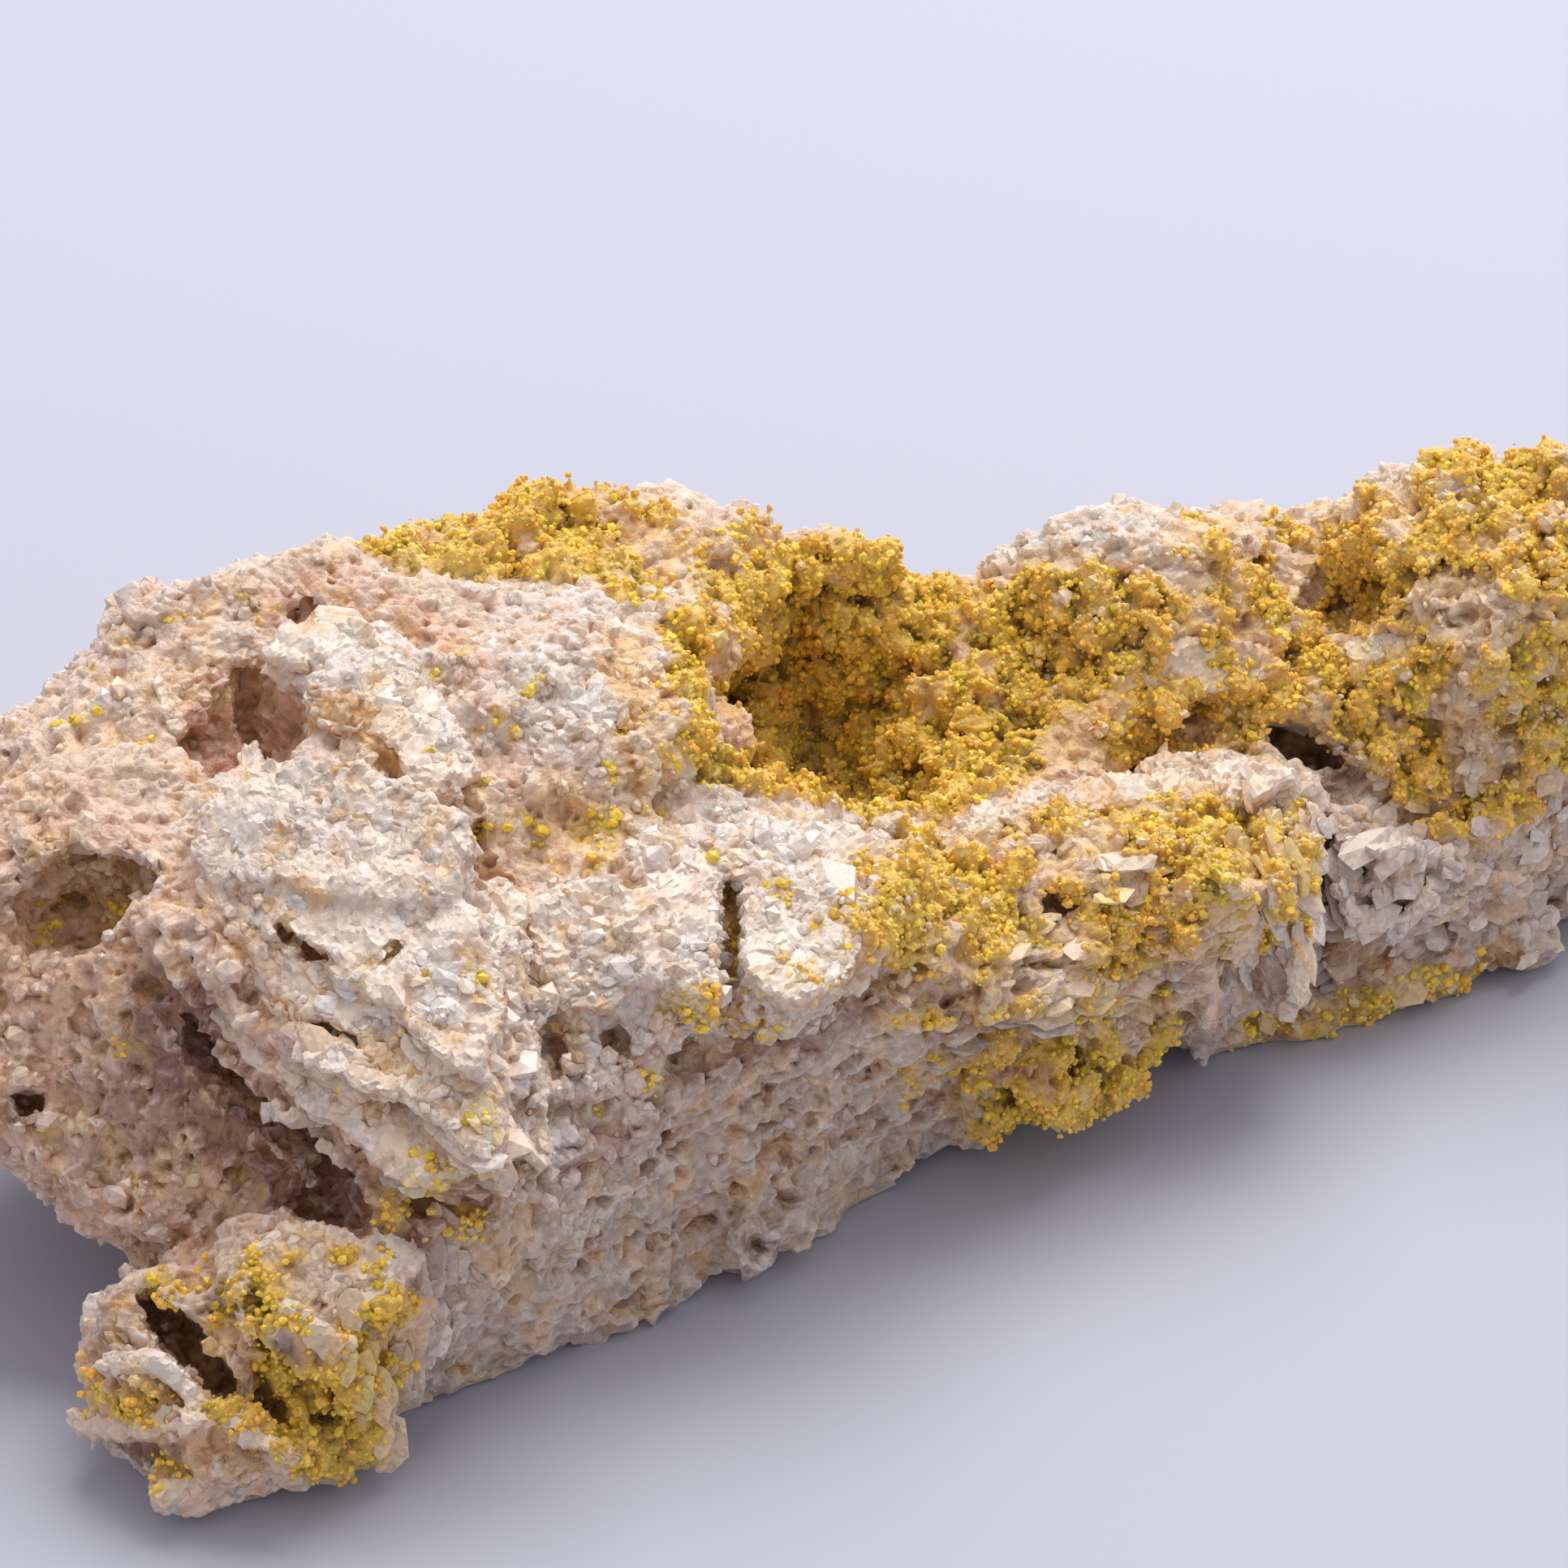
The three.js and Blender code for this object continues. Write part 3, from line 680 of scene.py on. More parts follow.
def torn_slab(shape, outline, along, rng, step, tear):
    """Adds a closed slab with a torn outline to the bmesh, drawn out from the outline."""
    across = np.array(along, float) / np.linalg.norm(along)
    rim = []
    for a, b in zip(outline, np.roll(outline, -1, axis=0)):
        count = max(1, int(np.linalg.norm(b - a) / step))
        rim += [a + (b - a) * k / count for k in range(count)]
    rim = np.array(rim)
    shake = rng.uniform(-tear, tear, rim.shape)
    rim = rim + shake - (shake @ across)[:, None] * across
    face = shape.faces.new([shape.verts.new(v) for v in rim])
    drawn = bmesh.ops.extrude_face_region(shape, geom=[face], use_keep_orig=True)
    far = [v for v in drawn["geom"] if isinstance(v, bmesh.types.BMVert)]
    bmesh.ops.translate(shape, vec=Vector(along), verts=far)


def mesh_of(shape, name):
    """The bmesh made a mesh."""
    mesh = bpy.data.meshes.new(name)
    shape.to_mesh(mesh)
    shape.free()
    return mesh


def slabs(rows, step=TORN_STEP, tear=TORN_DEPTH):
    """One mesh of closed torn slabs, their faces pointing outwards."""
    rng = np.random.RandomState(seed=7)
    whole = bmesh.new()
    for outline, along in rows:
        shape = bmesh.new()
        torn_slab(shape, outline, along, rng, step, tear)
        bmesh.ops.triangulate(shape, faces=shape.faces[:])
        bmesh.ops.recalc_face_normals(shape, faces=shape.faces[:])
        whole.from_mesh(mesh_of(shape, "slab"))
    return mesh_of(whole, "slabs")


def evaluated(mesh, kind, chosen=None, **settings):
    """The mesh as a modifier leaves it, all over or only at the chosen vertices."""
    blank = bpy.data.objects.new("blank", mesh)
    scene.collection.objects.link(blank)
    change = blank.modifiers.new("change", kind)
    for key, value in settings.items():
        setattr(change, key, value)
    if chosen is not None:
        group = blank.vertex_groups.new(name="chosen")
        group.add([int(k) for k in chosen], 1.0, "REPLACE")
        change.vertex_group = "chosen"
    depsgraph = bpy.context.evaluated_depsgraph_get()
    result = bpy.data.meshes.new_from_object(blank.evaluated_get(depsgraph))
    bpy.data.objects.remove(blank)
    return result


def remeshed(mesh, grid):
    """The closed shapes in the mesh made one skin of even small faces."""
    return evaluated(mesh, "REMESH", mode="VOXEL", voxel_size=grid, use_smooth_shade=True)


def cut_away(mesh, holes):
    """The mesh with every shape in holes taken out of it."""
    tool = bpy.data.objects.new("tool", holes)
    scene.collection.objects.link(tool)
    result = evaluated(mesh, "BOOLEAN", object=tool, operation="DIFFERENCE", solver="MANIFOLD")
    bpy.data.objects.remove(tool)
    return result


def points_of(mesh):
    """The mesh's points as rows."""
    places = np.zeros(len(mesh.vertices) * 3, np.float32)
    mesh.vertices.foreach_get("co", places)
    return places.reshape(-1, 3).astype(float)


def normals_of(mesh):
    """The way the mesh faces at each of its points."""
    mesh.update()
    ways = np.zeros(len(mesh.vertices) * 3, np.float32)
    mesh.vertex_normals.foreach_get("vector", ways)
    return ways.reshape(-1, 3).astype(float)


def set_points(mesh, points):
    """Moves the mesh's points to the given places."""
    mesh.vertices.foreach_set("co", points.astype(np.float32).ravel())
    mesh.update()


NEIGHBOURS_SHARE = 0.7
OWN_SHARE = 0.3


def neighbours_mean(mesh, values, rounds):
    """Each point's value averaged with its neighbours', again and again."""
    pairs = np.zeros(len(mesh.edges) * 2, np.int64)
    mesh.edges.foreach_get("vertices", pairs)
    a, b = pairs.reshape(-1, 2).T
    ends = np.concatenate([a, b])
    starts = np.concatenate([b, a])
    count = np.maximum(np.bincount(ends, minlength=len(values)), 1)
    values = values.reshape(len(values), -1)
    for _ in range(rounds):
        columns = [
            np.bincount(ends, weights=column[starts], minlength=len(values)) / count
            for column in values.T
        ]
        values = np.stack(columns, axis=1) * NEIGHBOURS_SHARE + values * OWN_SHARE
    return values


# How much of their fine faces the sides that are turned away from the camera keep, and from
# what slope a face counts as turned away from it or as turned down.
HIDDEN_KEEP = 0.62
FACING_AWAY = -0.08
FACING_DOWN = -0.7


def thinned(mesh):
    """The same skin with rough wider faces on the sides that are turned away."""
    points = points_of(mesh)
    outward = normals_of(mesh)
    facing = neighbours_mean(mesh, outward, rounds=8)
    hidden = (facing @ view_axes[2] < FACING_AWAY) | (facing[:, 2] < FACING_DOWN)
    rough = chunks(points, 2.2, 71, step=0.5, lean=0.5)
    rough += chunks(points, 1.2, 75, step=0.3, lean=0.4)
    set_points(mesh, points + outward * (rough * hidden)[:, None])
    return evaluated(mesh, "DECIMATE", chosen=np.nonzero(hidden)[0], ratio=HIDDEN_KEEP)


# Where the stone is pitted, layered, lumpy, clean white, pink, ochre: centre, half size, strength.
PITTED = [
    ((-12, -20, 10), (22, 9, 13), 1.0),
    ((8, -19, 6), (9, 8, 7), 0.9),
    ((44, -8, 20), (14, 13, 13), 0.8),
    ((-48, 4, 18), (9, 14, 14), 0.7),
    ((-42, -8, 10), (12, 9, 7), 0.8),
    ((28, -17, 8), (9, 6, 6), 0.4),
    ((-30, 15, 26), (16, 9, 10), 0.4),
    ((6, -15, 15), (12, 7, 6), 0.5),
]
LAYERED = [
    ((-37, -10, 21), (9, 14, 9), 1.0),
    ((-26, 1, 29), (7, 10, 5), 0.8),
    ((-47, -16, 6), (9, 8, 8), 0.8),
    ((30, -16, 9), (8, 6, 8), 0.7),
]
HOLLOW = ((1, 1, 22), (11, 10, 10))
LUMPY = [
    ((1, 1, 22), (10, 9, 10), 1.0),
    ((22, -2, 21), (11, 7, 7), 0.8),
    ((43, -9, 20), (13, 12, 12), 1.0),
    ((-12, 12, 30), (10, 5, 5), 0.7),
    ((5, -17, 17), (12, 6, 6), 0.6),
]
CLEAN = [
    ((-36, -7, 27), (8, 12, 5), 1.0),
    ((-17, -1, 32), (9, 9, 5), 1.0),
    ((-16, -14, 24), (13, 7, 5), 1.0),
    ((2, -9, 23), (13, 4, 4), 1.0),
    ((-28, 1, 33), (6, 9, 4), 0.8),
    ((24, 4, 27), (7, 5, 4), 0.9),
    ((-26, -15, 19), (8, 7, 6), 0.8),
    ((-34, 16, 32), (14, 5, 5), 0.5),
]
PINK = [
    ((-47, 2, 17), (12, 16, 14), 0.8),
    ((-40, -9, 12), (12, 9, 6), 1.0),
    ((-33, 7, 29), (5, 6, 4), 1.0),
    ((-10, 1, 25), (4, 9, 7), 0.8),
    ((-30, 18, 26), (16, 8, 10), 0.6),
    ((4, 8, 27), (8, 6, 5), 0.6),
    ((-23, -6, 27), (6, 5, 4), 0.7),
]
OCHRE = [
    ((1, 1, 22), (11, 10, 9), 1.0),
    ((22, -1, 21), (12, 8, 8), 0.6),
    ((42, -10, 20), (13, 11, 12), 0.7),
    ((6, -17, 16), (13, 6, 5), 0.7),
    ((20, -8, 19), (9, 4, 3), 1.0),
    ((27, -13, 17), (5, 4, 4), 1.0),
    ((-20, -8, 27), (5, 4, 3), 0.6),
    ((-12, 12, 31), (10, 5, 4), 0.7),
    ((6, -18, 6), (8, 6, 5), 0.5),
    ((-45, -20, 9), (6, 6, 7), 0.6),
    ((-34, -22, 13), (4, 4, 4), 0.8),
    ((-44, 3, 24), (5, 4, 4), 0.6),
]
# The skin's faces, first for the broken shape and then for its plates and slits.
COARSE_GRID = 0.5
FINE_GRID = 0.38
SAME_POINT = 0.001
STRATA_TURN = (math.radians(20), math.radians(-22), math.radians(15))
STRATA_THICK = 1.9
# How far the skin may move in and out, and the height over the card where that fades in.
DEEPEST = 3.4
HIGHEST = 2.4
FOOT_FADE = 1.2


def solid_in_mm():
    """The plain solid of the stone and the lumps under it, in mm."""
    block = bmesh.new()
    block.from_mesh(matrix_solid.data)
    bmesh.ops.scale(block, vec=(1 / MM, 1 / MM, 1 / MM), verts=block.verts[:])
    bmesh.ops.remove_doubles(block, verts=block.verts[:], dist=SAME_POINT)
    for middle, half in LUMPS:
        place = Matrix.LocRotScale(middle, None, half)
        bmesh.ops.create_icosphere(block, subdivisions=3, radius=1, matrix=place)
    return mesh_of(block, "block")


def strata(points):
    """Relief of the stone's slanting layers, each stepped back from the one under it."""
    turns = [Matrix.Rotation(turn, 3, axis) for turn, axis in zip(STRATA_TURN, "XYZ")]
    across = np.array(turns[0] @ turns[1] @ turns[2])[:, 2]
    level = points @ across / STRATA_THICK + 0.45 * drift(points, 6, 41)
    step = level - np.floor(level)
    return 0.9 * (0.5 - step) * (0.4 + drift(points, 5.0, 44))


def broken_body():
    """The body broken into chunks, strata, ridges, grooves and pits."""
    body = remeshed(solid_in_mm(), COARSE_GRID)
    points = neighbours_mean(body, points_of(body), rounds=3)
    set_points(body, points)
    outward = normals_of(body)
    lumpy = patches(points, LUMPY)
    warped = shaken(points, (1.1, 4.0, 11))
    push = chunks(warped, 7.5, 21, step=0.5, lean=0.7)
    push += chunks(warped, 3.3, 31, step=0.4 + 0.5 * lumpy, lean=0.6 + 0.5 * lumpy)
    push += lumpy * (grapes(warped, 2.6, 35, height=1.5, least=0, top=0.75, fall=1.5) - 0.2)
    in_hollow = patch(points, *HOLLOW)
    push += in_hollow * (grapes(warped, 3.8, 38, height=2.6, least=0, top=0.6, fall=1.3) - 0.3)
    push += patches(points, LAYERED) * strata(points)
    uneven = shaken(points, (0.45, 1.6, 45), (0.2, 0.7, 48))
    for _, half, height, marks in RELIEF:
        share = line_share(uneven, marks, half)
        push += height * (share if height > 0 else ramp(share, 0, 0.8))
    longer = shaken(points, (0.5, 1.5, 51)) * (0.6, 1, 1)
    push -= 1.5 * patches(points, PITTED) * pits(longer, 2.5, 61, missing=0.35, half=0.52, rim=0.34)
    lifted = np.clip(points[:, 2] / FOOT_FADE, 0, 1)
    points = points + outward * (np.clip(push, -DEEPEST, HIGHEST) * lifted)[:, None]
    points[:, 2] = np.maximum(points[:, 2], 0)
    set_points(body, points)
    return body


def hollows():
    """The shapes that are cut out of the stone for its slits and pockets."""
    rows = []
    for name, depth, marks in HOLES:
        outline, _ = face_on(marks, 0)
        inward = np.array(UNDER_THE_PILE) if name == SHADOW_GAP else -view_axes[2]
        rows.append((outline - HOLE_START * inward, tuple(inward * (depth + HOLE_START))))
    return remeshed(slabs(rows), HOLE_GRID)


def plated_body(body):
    """The body with its torn plates on it and its slits and pockets cut in."""
    whole = bmesh.new()
    whole.from_mesh(body)
    whole.from_mesh(slabs(plate_rows(extra_rise=0, root=PLATE_ROOT, thicker=1)))
    return cut_away(remeshed(mesh_of(whole, "plated"), FINE_GRID), hollows())


stone = thinned(remeshed(plated_body(broken_body()), FINE_GRID))
skin = points_of(stone)
outward = normals_of(stone)
pitted = patches(skin, PITTED)

# Each crust: its own solid, how much of its ground it fills, how dark it is. The darkness is
# painted shade, strongest for the crusts on the belly, on the foot and in the hollow.
CRUSTS = [
    ("pyromorphite_in_hollow", 0.55, 0.5),
    ("pyromorphite_on_back_rim", 0.35, 0.2),
    ("pyromorphite_on_belly", 0.1, 0.9),
    ("pyromorphite_on_crest", 0.3, 0),
    ("pyromorphite_on_foot", 0.12, 0.6),
    ("pyromorphite_on_front_shelf", 0.2, 0),
    ("pyromorphite_on_right_knob", 0.2, 0),
]
# Where a crust also reaches, and where it leaves the quartz bare: half width, marks.
CRUST_LINES = {
    "pyromorphite_in_hollow": [
        (3.0, [(1000, 820), (1060, 840), (1080, 890), (1000, 900), (940, 900)]),
        (2.0, [(850, 770), (845, 830), (855, 900), (870, 945), (930, 965), (1010, 975)]),
        (1.6, [(1060, 990), (1090, 950), (1140, 940), (1180, 985)]),
        (1.5, [(770, 740), (820, 770), (830, 800)]),
        (3.2, [(890, 750), (890, 820), (930, 800), (960, 740)]),
    ],
    "pyromorphite_on_back_rim": [
        (1.8, [(480, 665), (560, 690), (640, 690), (700, 690), (770, 700)]),
        (1.8, [(635, 640), (670, 620), (720, 640)]),
        (1.2, [(940, 680), (1000, 680), (1040, 700)]),
    ],
    "pyromorphite_on_front_shelf": [
        (1.0, [(1602, 980), (1606, 1080), (1600, 1180)]),
        (1.3, [(1560, 1000), (1570, 1080), (1560, 1160)]),
        (1.8, [(1100, 1050), (1140, 1080), (1110, 1120), (1070, 1150)]),
        (1.0, [(1180, 1090), (1240, 1080), (1300, 1090), (1350, 1140), (1420, 1120)]),
        (2.0, [(1130, 1030), (1150, 1080), (1130, 1120), (1110, 1160)]),
        (1.7, [(1085, 1060), (1100, 1100), (1085, 1140)]),
        (1.2, [(1440, 1080), (1500, 1060), (1530, 1100)]),
    ],
    "pyromorphite_on_foot": [
        (1.6, [(320, 1590), (330, 1640), (350, 1690), (400, 1740), (420, 1770)]),
        (1.4, [(440, 1640), (450, 1680), (430, 1720)]),
        (1.0, [(480, 1540), (485, 1580)]),
        (1.1, [(95, 1705), (135, 1725), (180, 1735)]),
    ],
    "pyromorphite_on_belly": [
        (2.0, [(1230, 1370), (1320, 1380), (1390, 1360)]),
        (1.4, [(1230, 1290), (1300, 1310), (1390, 1330)]),
    ],
    "pyromorphite_on_crest": [
        (1.6, [(1210, 730), (1290, 740), (1380, 750), (1420, 740)]),
        (1.3, [(1250, 790), (1330, 800), (1400, 810)]),
        (1.6, [(1580, 640), (1640, 660), (1700, 680)]),
    ],
    "pyromorphite_on_right_knob": [
        (1.8, [(1730, 980), (1800, 1010), (1880, 990)]),
        (1.6, [(1660, 890), (1720, 930), (1760, 960)]),
    ],
}
BARE_LINES = [
    (1.4, [(740, 635), (790, 655), (840, 690), (820, 720)]),
    (1.0, [(650, 725), (710, 735), (770, 745)]),
    (0.8, [(540, 640), (590, 655)]),
    (1.7, [(1240, 640), (1330, 630), (1430, 640), (1530, 650)]),
    (1.5, [(1440, 700), (1470, 760), (1440, 820), (1500, 820), (1570, 810)]),
    (1.4, [(1665, 815), (1700, 800), (1725, 790)]),
    (0.8, [(1140, 840), (1150, 900)]),
    (0.8, [(1340, 870), (1420, 880)]),
    (0.9, [(1715, 860), (1730, 880)]),
    (0.9, [(1830, 920), (1880, 930)]),
    (0.7, [(1180, 800), (1230, 860)]),
    (1.5, [(330, 1535), (420, 1550), (500, 1570)]),
    (1.0, [(345, 1620), (400, 1640)]),
    (1.5, [(525, 1590), (505, 1680), (470, 1760), (430, 1820)]),
]
# A crust is whole up to the first distance from its solid, and gone at the second.
CRUST_NEAR = 0.8
CRUST_REACH = 3.0


def away_from(node):
    """How far each point of the stone is from a crust's own solid. Far ones are left at FAR."""
    tree = BVHTree.FromObject(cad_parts[node], bpy.context.evaluated_depsgraph_get())
    low, high = (np.array(corner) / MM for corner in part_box(node))
    beside = np.all((skin > low - CRUST_REACH) & (skin < high + CRUST_REACH), axis=1)
    away = np.full(len(skin), FAR)
    for k in np.nonzero(beside)[0]:
        away[k] = tree.find_nearest(Vector(skin[k] * MM))[3] / MM
    return away


cover = {}
halo = np.zeros(len(skin))
bare = np.zeros(len(skin))
uneven = shaken(skin, (0.8, 2.0, 411), (0.35, 0.8, 414))
for half, marks in BARE_LINES:
    bare = np.maximum(bare, line_share(uneven, marks, half))
for node, fill, _ in CRUSTS:
    patchy = drifts(skin, (0.6, 3.6, 401), (0.6, 1.7, 402), (0.35, 0.8, 403))
    reach = 1 - ramp(away_from(node), CRUST_NEAR, CRUST_REACH)
    for half, marks in CRUST_LINES[node]:
        share = line_share(uneven, marks, half)
        reach = np.maximum(reach, ramp(share, 0, 0.5))
        patchy += 0.8 * ramp(share, 0, 0.6)
    halo = np.maximum(halo, reach * ramp(patchy + fill, -1.2, 0.3))
    cover[node] = reach * ramp(patchy + fill - 1.2 * (1 - reach) - 2 * bare, -0.1, 0.2)
yellowed = np.max(list(cover.values()), axis=0)

# Fine relief: sharp chunks all over, cracks and raised edges along their lines, pits in the
# porous parts, round lumps under the crusts, and a crumb at every point. It fades at the foot.
FINE_FOOT_FADE = 0.5
CRUMB = 0.035
BOX_MARGIN = 0.5
warped = shaken(skin, (0.35, 0.9, 81))
push = chunks(warped, 1.4, 91, step=0.22, lean=0.45, groove=0.12)
push += chunks(warped, 0.8, 101, step=0.16, lean=0.16)
uneven = shaken(skin, (0.35, 1.6, 85), (0.2, 0.7, 88))
for half, height, marks in CRACKS:
    push += height * ramp(line_share(uneven, marks, half), 0, 0.9)
longer = warped * (0.6, 1, 1)
push -= 0.8 * pitted * pits(longer, 1.3, 111, missing=0.45, half=0.5, rim=0.3)
push += yellowed * grapes(warped, 1.7, 115, height=1.1, least=0.35, top=0.75, fall=1.8)
lifted = np.clip(skin[:, 2] / FINE_FOOT_FADE, 0, 1)
skin = skin + outward * (push * lifted)[:, None]
skin += np.random.RandomState(seed=5).uniform(-CRUMB, CRUMB, skin.shape)
skin[:, 2] = np.maximum(skin[:, 2], 0)
box_low = np.array(cad_box[0]) / MM - (BOX_MARGIN, BOX_MARGIN, 0)
box_high = np.array(cad_box[1]) / MM + BOX_MARGIN
skin = np.clip(skin, box_low, box_high)
set_points(stone, skin)
outward = normals_of(stone)

# How deep each point lies in the dips around it, fine and wide.
smoother = neighbours_mean(stone, skin, rounds=5)
fine_dip = np.sum((smoother - skin) * outward, axis=1)
smoother = neighbours_mean(stone, smoother, rounds=60)
wide_dip = np.sum((smoother - skin) * outward, axis=1)

WHITE = np.array([0.80, 0.735, 0.695])
CREAM = np.array([0.80, 0.62, 0.47])
GREY = np.array([0.58, 0.45, 0.37])
BUFF = np.array([0.72, 0.42, 0.29])
OCHRE_STAIN = np.array([0.66, 0.34, 0.07])
PEACH = np.array([0.80, 0.53, 0.27])
GOLD_STAIN = np.array([0.82, 0.52, 0.15])
# Painted shade: the browns and the dark olive darken holes, dips, undercuts and shaded parts; the
# ochre brown is also real stain.
SHADE_BROWN = np.array([0.17, 0.075, 0.035])
SHADE_BROWN_PINK = np.array([0.33, 0.165, 0.12])
OCHRE_BROWN_STAIN_AND_SHADE = np.array([0.42, 0.21, 0.06])
SHADE_OLIVE = np.array([0.17, 0.10, 0.02])
YELLOW_GROUND = np.array([0.80, 0.52, 0.07])
